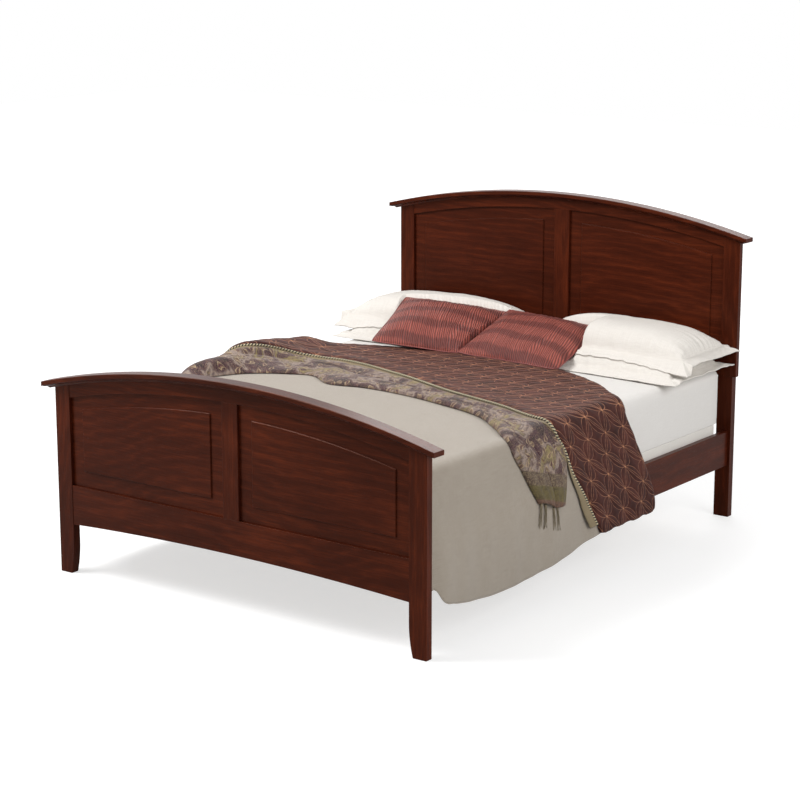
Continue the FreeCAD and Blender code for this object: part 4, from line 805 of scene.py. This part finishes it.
def make_coverlet():
    """Linen over the mattress that hangs to either side, with a stitched double hem."""
    low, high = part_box("coverlet")
    y = np.linspace(low[1] + 0.0005, high[1] - 0.0005, 170)
    across, grid_y = np.meshgrid(np.linspace(-1, 1, 321), y, indexing="ij")
    s = across * COVERLET_HEM(grid_y)
    out = coverlet_out(s, grid_y)
    outer = on_bed(s, grid_y, out + 0.0014)
    inner = on_bed(s, grid_y, out - 0.0004)
    uv = np.stack([s, grid_y], -1)
    cover = shell("coverlet_cloth", outer, inner, uv, COVER_LINEN)
    finish_piece(cover, "greige_linen", "coverlet")
    flat_area = float(np.trapz(2 * COVERLET_HEM(y), y))
    # hem: a fold and its row of stitches, slightly proud along both bottom edges
    hems = []
    for side in (-1, 1):
        for back, radius in ((0.0, 0.0016), (0.012, 0.0009)):
            line = side * COVERLET_HEM(y) - side * back
            hems.append(tube_parts(on_bed(line, y, coverlet_out(line, y) + 0.0008), radius, 6))
    hem = joined("coverlet_hem", hems, COVER_LINEN)
    finish_piece(hem, "greige_linen")


# ---- throw ----------------------------------------------------------------------------------------
THROW_NEAR = edge([(-1.012, -.47), (-.9, -.49), (-.82, -.485), (-.76, -.445), (-.70, -.335),
                   (-.65, -.24), (-.598, -.19), (-.5, -.135),
                   (-.415, -.104), (-.244, -.188), (-.122, -.162), (.073, -.168), (.281, -.209),
                   (.525, -.295), (.647, -.393), (.751, -.477), (.801, -.471), (.859, -.439),
                   (.973, -.381), (.989, -.374)])
QUILT_NEAR = edge([(-1.192, -.03), (-1.012, -.10), (-.9, -.14), (-.83, -.145), (-.78, -.135),
                   (-.74, -.10), (-.70, -.02), (-.66, .055), (-.6, .11), (-.5, .133),
                   (-.098, .053), (.232, -.069), (.5, -.139), (.72, -.21), (.772, -.208), (.83, -.17),
                   (.958, -.125), (1.08, -.047), (1.183, .015), (1.192, .02)])
QUILT_FAR = edge([(-1.192, .2525), (-1.012, .2825), (-.83, .36), (-.75, .385), (-.561, .464),
                  (-.244, .526), (.122, .5545), (.452, .474), (.598, .392), (.696, .309),
                  (.783, .267), (.886, .303), (.996, .336), (1.158, .402), (1.192, .4)])
QUILT_HEM = 1.189


def facing_width(s):
    """How much of the quilt's lining shows below its piping."""
    return 0.010 + 0.014 * smooth(0.1, -0.5, s) + 0.042 * smooth(0.86, 1.12, s)


# the shawl's far edge comes out from under the quilt where it hangs
THROW_FAR = edge([(.70, -.145), (.756, -.15), (.81, -.153), (.859, -.161), (.915, -.17), (.958, -.186),
                  (1.02, -.222), (1.04, -.23)])


def throw_end(v):
    """Where the shawl's end hangs on the right, from its near corner to its far one."""
    return 0.989 + 0.033 * smooth(0, 0.7, v)


def throw_far(s):
    tuck = np.minimum(QUILT_NEAR(s) + 0.045, 0.162)
    share = smooth(0.70, 0.80, s)
    return tuck * (1 - share) + THROW_FAR(s) * share


def shoulder(s, y):
    """The quilt and the throw stand off the bed's left edge, where they are bunched up."""
    tall = 0.05 + 0.034 * np.exp(-((y - 0.01) / 0.17) ** 2)
    start = smooth(-0.012, 0.09, y - THROW_NEAR(s))
    end = smooth(0.01, -0.12, y - QUILT_FAR(s))
    return tall * start * end * np.exp(-((s + 0.775) / 0.115) ** 2)


# place across the shawl of its one deep fold, along its length
FOLD = ([-1.0, -0.6, -0.2, 0.0, 0.18, 0.306, 0.438, 0.567, 0.692, 0.8, 0.9, 1.03],
        [0.55, 0.62, 0.52, 0.45, 0.41, 0.36, 0.26, 0.24, 0.30, 0.40, 0.50, 0.55])


def throw_ridges(s, v):
    """Two long rolls with a deep fold between them, and small pulls along them."""
    at = np.interp(s, *FOLD)
    first = np.sin(math.pi * np.clip(v / at, 0, 1)) ** 0.45
    second = np.sin(math.pi * (0.08 + 0.92 * np.clip((v - at) / (1 - at), 0, 1))) ** 0.6
    roll = np.where(v < at, first, second)
    drift = 2.2 * RIPPLE[1](s * 4, v * 1.2)
    pulls = np.sin(v * 34 + drift + s * 6) * 0.5 + RIPPLE[2](s * 22, v * 9) * 0.6
    bunch = RIPPLE[3](s * 17, v * 4) * smooth(-0.1, -0.5, s)
    return 0.04 + 0.82 * roll + 0.13 * pulls + 0.3 * bunch


# how far the throw lies off the line that the coverlet follows, and the quilt likewise
THROW_LIFT = 0.0052
QUILT_LIFT = 0.0048


def carried(s, y):
    """How far the coverlet's hanging folds lift what lies on them."""
    return coverlet_out(s, y) * smooth(0.8, 1.0, np.abs(s)) * 0.9


def make_throw():
    """The shawl, laid across the bed in two long rolls and tucked under the quilt."""
    v = np.linspace(0, 1, 96)[None, :]
    u = np.linspace(-1, 1, 360)[:, None]
    end = np.where(u > 0, throw_end(v), 1.0)
    s = u * end
    near, tuck = THROW_NEAR(s), throw_far(s)
    y = near + (tuck - near) * v
    beyond = y - QUILT_NEAR(s)
    lift = THROW_LIFT + carried(s, y) + shoulder(s, y)
    # 1 where nothing presses the shawl flat: beyond the quilt's facing, and all down its hanging end
    free = smooth(-0.3 * facing_width(s), -facing_width(s) - 0.02, beyond) * smooth(0.8, 0.7, s)
    free = np.maximum(free, smooth(0.72, 0.84, s) * smooth(0.006, -0.012, beyond))
    pressed, rolled = 0.0012, 0.0165
    rolls = 0.002 + rolled * np.clip(throw_ridges(s, v), 0, 1.25)
    height = (0.0018 + rolls * rounded(v / 0.045)) * free + pressed
    outer = on_bed(s, y, lift + height)
    inner = on_bed(s, y, lift - 0.4 * shoulder(s, y) + np.maximum(height - 0.0022, 0) * 0.75)
    shawl = shell("throw_cloth", outer, inner, np.stack([s, y], -1), PAISLEY)
    finish_piece(shawl, "paisley_shawl", "throw")
    area = float(((tuck - near)[:-1, 0] * np.diff(s[:, 0])).sum())
    tassels = make_tassels()


# threads in a tassel, each set off from the one before by this angle
THREADS = 11
GOLDEN_ANGLE = 2.399


def make_tassels():
    """Bunches of thread knotted along the shawl's hanging end."""
    parts = []
    for side in (1, -1):
        for share in (0.08, 0.24, 0.56, 0.72):
            s_end = side * (float(throw_end(np.array(share))) if side > 0 else 1.0)
            near, tuck = float(THROW_NEAR(s_end)), float(throw_far(np.array(s_end)))
            y = near + (tuck - near) * share
            knot = on_bed(np.array(s_end + side * 0.006), np.array(y), 0.0115)
            parts.append(blob(knot, 0.0052, 0.0062))
            for k in range(THREADS):
                angle = GOLDEN_ANGLE * k
                spread = 0.0042 * math.sqrt((k + 0.5) / THREADS)
                dy, dx = spread * math.cos(angle), spread * math.sin(angle)
                length = 0.070 + 0.014 * RANDOM.random()
                t = np.linspace(0, 1, 9)
                path = np.stack([knot[0] + dx * (0.6 + t) + side * 0.003 * np.sin(t * 3),
                                 knot[1] + dy * (0.6 + 2.4 * t) + 0.003 * np.sin(t * 5 + k)
                                 + (share - 0.4) * 0.03 * t,
                                 knot[2] - length * t], -1)
                parts.append(tube_parts(path, 0.0009 * (1 - 0.4 * t), 5))
            back = on_bed(np.array([s_end - side * 0.012, s_end + side * 0.006]),
                          np.array([y, y]), np.array([0.0095, 0.0115]))
            parts.append(tube_parts(np.linspace(back[0], back[1], 5), 0.0016, 5))
    tassels = joined("throw_tassels", parts, TASSEL)
    return finish_piece(tassels, "paisley_shawl")


def blob(centre, radius, tall):
    """A small knot: a ball drawn out upwards."""
    rows, columns = 7, 10
    theta, phi = np.meshgrid(np.linspace(0.15, math.pi - 0.15, rows),
                             np.linspace(0, 2 * math.pi, columns, endpoint=False), indexing="ij")
    points = np.stack([np.sin(theta) * np.cos(phi) * radius, np.sin(theta) * np.sin(phi) * radius,
                       np.cos(theta) * tall], -1) + centre
    faces = [tuple(f) for f in grid_faces(rows, columns, closed=True)]
    faces += [tuple(range(columns)), tuple(range((rows - 1) * columns, rows * columns))]
    return points.reshape(-1, 3), faces


# ---- quilt ----------------------------------------------------------------------------------------
# lattice of the sewn stars on the cloth: one star and its two neighbours, as (y, distance down)
STAR_ORIGIN = (0.0755, 0.979)
STAR_DOWN = (-0.014, 0.0735)
STAR_ASIDE = (0.106, 0.072)


def star_uv(s, y):
    """Cloth coordinates in which the stars stand on whole numbers."""
    dy, ds = y - STAR_ORIGIN[0], s - STAR_ORIGIN[1]
    det = STAR_DOWN[0] * STAR_ASIDE[1] - STAR_DOWN[1] * STAR_ASIDE[0]
    p = (dy * STAR_ASIDE[1] - ds * STAR_ASIDE[0]) / det
    q = (STAR_DOWN[0] * ds - STAR_DOWN[1] * dy) / det
    return np.stack([p, q], -1)


def puffs(uv):
    """Height of the quilt between its sewn lines, 0 on a line."""
    height = 1.0
    for along, aside, wide in ((uv[..., 0], uv[..., 1], 0.07), (uv[..., 1], uv[..., 0], 0.1)):
        off = np.abs(aside - np.floor(aside + 0.5))
        t = along % 1.0
        gap = np.abs(off - 0.27 * 4 * t * (1 - t))
        height = np.minimum(height, 1 - np.exp(-(gap / wide) ** 2))
    return height


# the quilt's thickness at its sewn edge, and how much shorter its left end hangs
EDGE_THICK = 0.0035
LEFT_SHORT = 0.034


def quilt_surface(s, v):
    """y, underside and thickness of the quilt, v from its near edge to its far edge."""
    near, far = QUILT_NEAR(s), QUILT_FAR(s)
    y = near + (far - near) * v
    from_edge = np.minimum(v, 1 - v) * (far - near)
    from_hem = np.maximum(QUILT_HEM - np.abs(s), 0)
    rim = rounded(np.minimum(from_edge, from_hem) / 0.022)
    # the shawl lies under the near edge, and its roll holds that edge up on top of the bed
    over_throw = smooth(0.09, 0.03, y - near) * smooth(1.06, 1.03, np.abs(s))
    raised = smooth(0.14, 0.0, y - near) * smooth(0.84, 0.70, s)
    base = QUILT_LIFT + carried(s, y) + 0.0034 * over_throw + 0.010 * raised + shoulder(s, y)
    stitched = puffs(star_uv(s, y))
    crease = (RIPPLE[0](s * 42 + 0.8 * np.sin(y * 60), y * 42) * 0.0007
              + RIPPLE[1](s * 95, y * 95) * 0.0003)
    swell = 0.0012 * RIPPLE[2](s * 6, y * 6)
    thick = EDGE_THICK + 0.0085 * rim + (0.0018 * stitched + crease + swell) * rim
    return y, base, thick


def make_quilt():
    """The quilt, its piping and its facing; returns the quilt's outer points."""
    v = (1 - np.cos(np.linspace(0, math.pi, 190))) / 2 * 0.35 + np.linspace(0, 1, 190) * 0.65
    s = np.linspace(-QUILT_HEM, QUILT_HEM, 800)
    grid_s, grid_v = np.meshgrid(s, v, indexing="ij")
    # rounded corners and a slightly scalloped hem
    scallop = 0.004 * np.cos(2 * math.pi * grid_v * 4)
    corner = 0.03 * (0.15 * smooth(0.07, 0, grid_v) + smooth(0.93, 1, grid_v)) ** 2
    reach = QUILT_HEM - corner * 0.8 - scallop - 0.004 - LEFT_SHORT * (grid_s < 0)
    grid_s = grid_s / QUILT_HEM * reach
    y, base, thick = quilt_surface(grid_s, grid_v)
    outer = on_bed(grid_s, y, base + thick)
    inner = on_bed(grid_s, y, base)
    quilt = shell("quilt_body", outer, inner, star_uv(grid_s, y), QUILT_CLOTH)
    finish_piece(quilt, "stitched_quilt", "quilt")
    area = float(np.trapz(QUILT_FAR(s) - QUILT_NEAR(s), s))
    end = float(reach[0, 0])
    cords, facing = make_piping(end), make_facing(end)
    [facing] + cords
    points = np.empty(len(quilt.data.vertices) * 3)
    quilt.data.vertices.foreach_get("co", points)
    return points.reshape(-1, 3)[:len(quilt.data.vertices) // 2]


# the two cords' twist: length of one turn, distance from the middle, and a cord's own radius
CORD_TURN, CORD_OFF, CORD_RADIUS = 0.0125, 0.0024, 0.0027


def make_piping(end):
    """Cream and black cord twisted together, sewn along the quilt's near edge."""
    s_line = np.linspace(-QUILT_HEM, QUILT_HEM, 6000) / QUILT_HEM * end
    y = QUILT_NEAR(s_line)
    _, base, thick = quilt_surface(s_line, np.zeros_like(s_line))
    path = on_bed(s_line, y - 0.0022, base + 0.0042)
    step = np.linalg.norm(np.diff(path, axis=0), axis=1)
    length = np.concatenate([[0], np.cumsum(step)])
    even = np.arange(0, length[-1], 0.0016)
    path = np.stack([np.interp(even, length, path[:, k]) for k in range(3)], -1)
    ahead = unit(np.gradient(path, axis=0), 0)
    side = unit(np.cross(ahead, [0.0, 1.0, 0.0]), 0)
    top = np.cross(side, ahead)
    turn = even / CORD_TURN * 2 * math.pi
    cords = []
    for name, phase, material in (("cream", 0, CREAM_CORD), ("black", math.pi, BLACK_CORD)):
        offset = (side * np.cos(turn + phase)[:, None] + top * np.sin(turn + phase)[:, None]) * CORD_OFF
        cord = tube(f"quilt_piping_{name}", path + offset, CORD_RADIUS, 7, material, up=top)
        cords.append(finish_piece(cord, "stitched_quilt"))
    return cords


def make_facing(end):
    """Olive-gold lining that shows beyond the piping, widest where the quilt hangs on the right."""
    s_line = np.linspace(-QUILT_HEM, QUILT_HEM, 700) / QUILT_HEM * end
    near = QUILT_NEAR(s_line)
    _, base, _ = quilt_surface(s_line, np.zeros_like(s_line))
    width = facing_width(s_line)
    rows = []
    stand = shoulder(s_line, near)
    low = 0.0078 + stand + (base - QUILT_LIFT - stand) * smooth(0.7, 0.84, s_line)
    for share in np.linspace(0, 1, 7):
        rise = 0.0025 * math.sin(share * math.pi)
        rows.append((near - width * (1 - share) + 0.002, low + (base + 0.003 - low) * share + rise))
    outer = np.stack([on_bed(s_line, y, out + 0.0008) for y, out in rows], 1)
    inner = np.stack([on_bed(s_line, y, out - 0.0006) for y, out in rows], 1)
    uv = np.stack([np.stack([s_line, y], -1) for y, _ in rows], 1)
    facing = shell("quilt_facing", outer, inner, uv, FACING)
    return finish_piece(facing, "stitched_quilt")


# ---- heights on which pillows rest ---------------------------------------------------------------
CELL = 0.004


class HeightMap:
    """Highest or lowest point over each small square of the bed's top."""

    def __init__(self, empty=-10.0, keep=np.maximum):
        self.keep, self.low = keep, np.array([-0.95, 0.30])
        self.z = np.full((int(1.9 / CELL), int(0.80 / CELL)), empty)

    def put(self, points):
        """Takes in a piece, and carries each height one cell further, so that no hole is left."""
        flat = points.reshape(-1, 3)
        index = ((flat[:, :2] - self.low) / CELL).astype(int)
        good = ((index >= 0) & (index < self.z.shape)).all(1)
        self.keep.at(self.z, (index[good, 0], index[good, 1]), flat[good, 2])
        padded = np.pad(self.z, 1, mode="edge")
        rows, columns = self.z.shape
        for i in (0, 1, 2):
            for j in (0, 1, 2):
                self.z = self.keep(self.z, padded[i:i + rows, j:j + columns])
        return self

    def at(self, x, y):
        fx = np.clip((x - self.low[0]) / CELL - 0.5, 0, self.z.shape[0] - 1.001)
        fy = np.clip((y - self.low[1]) / CELL - 0.5, 0, self.z.shape[1] - 1.001)
        i, j = fx.astype(int), fy.astype(int)
        a, b = fx - i, fy - j
        z = self.z
        return ((z[i, j] * (1 - a) + z[i + 1, j] * a) * (1 - b)
                + (z[i, j + 1] * (1 - a) + z[i + 1, j + 1] * a) * b)


# the lowest that the underside of a pillow may lie
LOWEST = 0.6183 + 0.0004


def floor_at(ground, x, y):
    return np.maximum(ground.at(x, y) + 0.0008, LOWEST)


# ---- pillows and cushions -------------------------------------------------------------------------
def pillow_grid(size, flange, count):
    """Inner coordinates of a pillow's face, 1 at the seam inside the flange, and its plan points."""
    half_x, half_y = size[0] / 2, size[1] / 2
    reach_x, reach_y = half_x / (half_x - flange), half_y / (half_y - flange)

    def ease(n, reach):
        even = np.linspace(-1, 1, n)
        return (np.sin(even * math.pi / 2) * 0.45 + even * 0.55) * reach

    a, b = np.meshgrid(ease(count[0], reach_x), ease(count[1], reach_y), indexing="ij")
    x, y = a * (half_x - flange), b * (half_y - flange)
    # the sides are drawn in between the corners
    draw = 0.012
    pull_y = draw * (1 - np.clip(a / reach_x, -1, 1) ** 2)
    pull_x = draw * (1 - np.clip(b / reach_y, -1, 1) ** 2)
    x = x - np.sign(x) * pull_x * np.abs(a / reach_x) ** 3
    y = y - np.sign(y) * pull_y * np.abs(b / reach_y) ** 3
    return a, b, x, y


def fullness(a, b, power, round_off):
    """1 in the middle of a pillow, 0 at its seam."""
    u = np.clip(1 - np.abs(a) ** power, 0, 1)
    v = np.clip(1 - np.abs(b) ** power, 0, 1)
    return (u * v) ** round_off


def seam_wrinkles(a, b, x, y, seed):
    """Short creases that run in from the seam, finer towards it, and a few long soft ones."""
    creases = 0
    for one, along, reach, shift, coarse, small in ((b, x, 0.22, 7.3, RIPPLE[0], RIPPLE[1]),
                                                    (a, y, 0.14, 5.1, RIPPLE[2], RIPPLE[3])):
        inwards = 1 - np.abs(one)
        near = np.exp(-np.clip(inwards, 0, None) / reach) * smooth(-0.05, 0.02, inwards)
        run = (coarse(along * 62 + seed * shift, np.sign(one) * 3 + one * 1.4 + seed)
               + 0.5 * small(along * 120 + seed, np.sign(one) * 2 + one * 2))
        creases = creases + near * run
    soft = RIPPLE[1]((x + 0.4 * y) * 9 + seed * 3, (y - 0.4 * x) * 7 + seed) * 0.9
    soft += RIPPLE[3]((x - 0.7 * y) * 19 + seed, (y + 0.5 * x) * 12 + seed * 2) * 0.4
    return 0.005 * creases + 0.0035 * soft * fullness(a, b, 2, 0.5)


# width of a pillow's flange and half its thickness
FLANGE, HALF_EDGE = 0.045, 0.0016


def make_pillow(node, centre, size, loft, ground, ceiling, seed, droop, round_off):
    """A feather pillow in a flanged case; returns its upper points.

    loft is its height above the seam and the share of that below it; droop is how far the flange
    hangs at the near side, the far side and the ends.
    """
    a, b, x, y = pillow_grid(size, FLANGE, (190, 130))
    full = fullness(a, b, 3.0, round_off)
    up = HALF_EDGE + loft[0] * full + seam_wrinkles(a, b, x, y, seed)
    up = np.maximum(up, HALF_EDGE)
    down = HALF_EDGE + loft[0] * loft[1] * full
    outside = np.maximum(np.abs(a) - 1, 0) * (size[0] / 2 - FLANGE)
    outside = np.maximum(outside, np.maximum(np.abs(b) - 1, 0) * (size[1] / 2 - FLANGE))
    wave = 0.005 * RIPPLE[0]((x + y) * 11 + seed, (x - y) * 11) * smooth(0, 0.03, outside)
    ruffle = RIPPLE[1](x * 50 + seed, y * 50) * 0.0014 * smooth(0, 0.02, outside)
    hang = droop[0] + (droop[1] - droop[0]) * smooth(-1, 1, b)
    end = smooth(0.97, 1.03, np.abs(a)) * (1 - smooth(0.97, 1.03, -b))
    hang = hang * (1 - end) + droop[2] * end
    middle = centre[2] - hang * np.minimum(outside, 0.06) / FLANGE + wave + ruffle
    seam_dip = 0.005 * np.exp(-((np.maximum(np.abs(a), np.abs(b)) - 1) / 0.022) ** 2)
    wx, wy = x + centre[0], y + centre[1]
    roof = ceiling.at(wx, wy) - 0.0012
    bottom = np.maximum(middle - down, floor_at(ground, wx, wy))
    bottom = np.maximum(np.minimum(bottom, roof - 0.003), LOWEST)
    top = np.maximum(middle + up - seam_dip, bottom + 2 * HALF_EDGE)
    top = np.where(roof < top, np.maximum(roof, bottom + 0.0025), top)
    outer, inner = np.stack([wx, wy, top], -1), np.stack([wx, wy, bottom], -1)
    pillow = shell(f"{node}_body", outer, inner, np.stack([x, y], -1), WHITE_LINEN)
    finish_piece(pillow, "white_linen", node)
    finish_piece(make_seam(f"{node}_body_seam", a, b, outer), "white_linen")
    return outer


def make_seam(name, a, b, outer):
    """The row of stitching between a pillow and its flange."""
    i0, i1, j0, j1 = (int(np.argmin(np.abs(line - t))) for line in (a[:, 0], b[0]) for t in (-1.0, 1.0))
    path = np.concatenate([outer[i0:i1, j0], outer[i1, j0:j1], outer[i1:i0:-1, j1],
                           outer[i0, j1:j0:-1]])
    return tube(name, path + [0, 0, 0.0002], 0.0009, 5, WHITE_LINEN, closed=True)


CUSHION_TILT = math.radians(20)


def cushion_place(x, y, z, turn, roll):
    """The matrix of a cushion at a place, turned on the bed, tilted back and rolled sideways."""
    return (Matrix.Translation((x, y, z)) @ Matrix.Rotation(math.radians(turn), 4, "Z")
            @ Matrix.Rotation(CUSHION_TILT, 4, "X") @ Matrix.Rotation(math.radians(roll), 4, "Y"))


def moved(matrix, points):
    m = np.array(matrix)
    return points @ m[:3, :3].T + m[:3, 3]


def make_cushion(side, place, turn, roll, ground, ceiling):
    """A cushion in pleated silk that leans back; returns its lower points."""
    loft = 0.058
    a, b, px, py = pillow_grid((0.486, 0.376), 0.004, (230, 180))
    # corners are rounded off, with a small ear at each
    corner = (np.abs(a) * np.abs(b)) ** 5
    px, py = px * (1 - 0.035 * corner), py * (1 - 0.045 * corner)
    full = fullness(a, b, 2.3, 0.66)
    pleat = np.sin((px + 0.2 * py) * 2 * math.pi / 0.0208 + 2.6 * RIPPLE[0](py * 13, px * 16))
    gather = RIPPLE[1](px * 70, py * 5) * np.exp(-(1 - np.abs(b)).clip(0) / 0.25) * 0.004
    dent = RIPPLE[2](px * 8 + turn, py * 8) * 0.006 * full + RIPPLE[3](px * 20, py * 20) * 0.0018
    up = 0.0012 + loft * full + (pleat * 0.0007 + gather + dent) * (full ** 0.5)
    down = 0.0012 + loft * 0.75 * full
    matrix = cushion_place(*place, turn, roll)
    outer = moved(matrix, np.stack([px, py, up], -1))
    inner = moved(matrix, np.stack([px, py, -down], -1))
    for points, gap in ((outer, 0), (inner, 0.0015)):
        x, y, z = (points[..., k] for k in range(3))
        lifted = np.maximum(z, floor_at(ground, x, y))
        points[..., 2] = np.minimum(lifted, ceiling.at(x, y) - 0.001 - gap)
    outer[..., 2] = np.maximum(outer[..., 2], inner[..., 2] + 0.0015)
    cushion = shell(f"{side}_cushion_body", outer, inner, np.stack([px, py], -1), SILK)
    finish_piece(cushion, "pleated_silk", f"{side}_cushion")
    # a thin self piping round the seam
    path = (rim_of(outer) + rim_of(inner)) / 2
    piping = tube(f"{side}_cushion_piping", path, 0.0022, 6, SILK_EDGE, closed=True)
    finish_piece(piping, "pleated_silk")
    return inner



def make_pillows(quilt_top):
    """The cushions first, right before left, then the pillows pressed under them."""
    ground = HeightMap().put(quilt_top)
    ceiling = HeightMap(empty=10.0, keep=np.minimum)
    for side, place, turn, roll in (("right", (0.096, 0.6685, 0.694), -4, 2.6),
                                    ("left", (-0.322, 0.6485, 0.7035), 12, 4)):
        ceiling.put(make_cushion(side, place, turn, roll, ground, ceiling))
    for sign, side in ((-1, "left"), (1, "right")):
        lower = make_pillow(f"{side}_lower_pillow", (sign * 0.418, 0.7905, 0.6351), (0.80, 0.465),
                            (0.076, 0.3), ground, ceiling, 3 + sign, (0.016, 0.010, 0.008), 0.62)
        make_pillow(f"{side}_upper_pillow", (sign * 0.438, 0.8225, 0.702),
                    (0.815 - sign * 0.018, 0.4185), (0.094, 0.5), HeightMap().put(lower), ceiling,
                    8 + sign * 2, (0.048, 0.004, 0.008 + 0.010 * sign), 0.5)


# ---- floor, light, camera -------------------------------------------------------------------------
WHITE = (1, 1, 1, 1)


def make_floor():
    """A large pale floor that fades into the white all round it."""
    shade = Shade("studio_floor", rough=0.9)
    x, y, _ = shade.place()
    cloud = shade.noise(x * 2, y * 2, detail=2)
    shade.finish(shade.mix(cloud, (0.44, 0.44, 0.44, 1), (0.47, 0.47, 0.47, 1)))
    camera, glossy = shade.rays("Camera", "Glossy")
    fade = x.abs().max(y.abs()).ramp(1.6, 5.5, 0.62, 1.0)
    glow = shade.add("ShaderNodeEmission", Color=WHITE, Strength=camera.max(glossy * 0.3) * fade)
    both = shade.add("ShaderNodeAddShader")
    for socket, source in zip(both.inputs, (shade.main, glow)):
        shade.feed(socket, source.outputs[0])
    shade.feed(shade.tree.nodes["Material Output"].inputs["Surface"], both.outputs[0])
    size, steps = 14.0, 24
    line = np.linspace(-size, size, steps)
    gx, gy = np.meshgrid(line, line, indexing="ij")
    verts = np.stack([gx, gy, 0 * gx - 0.0002], -1).reshape(-1, 3)
    floor = mesh_object("studio_floor", verts, grid_faces(steps, steps), shade.material)
    if floor.data.polygons[0].normal.z < 0:
        floor.data.flip_normals()


def make_studio():
    make_floor()
    world = bpy.data.worlds.new("studio")
    bpy.context.scene.world = world
    world.use_nodes = True
    sky = Nodes(world.node_tree)
    camera, through, glossy = sky.rays("Camera", "Transmission", "Glossy")
    level = sky.add("ShaderNodeMapRange", Value=camera.max(through).max(glossy), To_Min=0.4, To_Max=1.0)
    background = sky.tree.nodes["Background"]
    sky.feed(background.inputs["Strength"], level.outputs[0])
    sky.feed(background.inputs["Color"], WHITE)

    for name, place, aim, power, size in (("key", (-2.9, -2.9, 4.8), (0, 0, 0.4), 330, 2.6),
                                          ("fill", (4.8, -0.4, 2.6), (0, 0.3, 0.4), 125, 3.0),
                                          ("back", (-1.4, 4.0, 3.8), (0, 0.2, 0.7), 75, 2.4)):
        light = bpy.data.lights.new(name, "AREA")
        light.energy, light.shape, light.size = power, "SQUARE", size
        obj = bpy.data.objects.new(name, light)
        obj.location = place
        obj.rotation_euler = (Vector(aim) - Vector(place)).to_track_quat("-Z", "Y").to_euler()
        bpy.context.scene.collection.objects.link(obj)


def make_camera():
    """The camera that was fitted to the photo's straight edges."""
    data = bpy.data.cameras.new("camera")
    data.lens, data.sensor_width = 100.0, 36.0
    data.clip_end = 60
    camera = bpy.data.objects.new("camera", data)
    camera.location = (4.83, -6.5911, 2.4611)
    camera.rotation_euler = (math.pi / 2 - 0.2283, 0, 0.6377)
    bpy.context.scene.collection.objects.link(camera)
    bpy.context.scene.camera = camera


make_camera()
make_studio()
dress_frame()
make_mattress_set()
make_fitted_sheet()
make_coverlet()
make_throw()
make_pillows(make_quilt())

bpy.context.scene.view_settings.view_transform = "Standard"
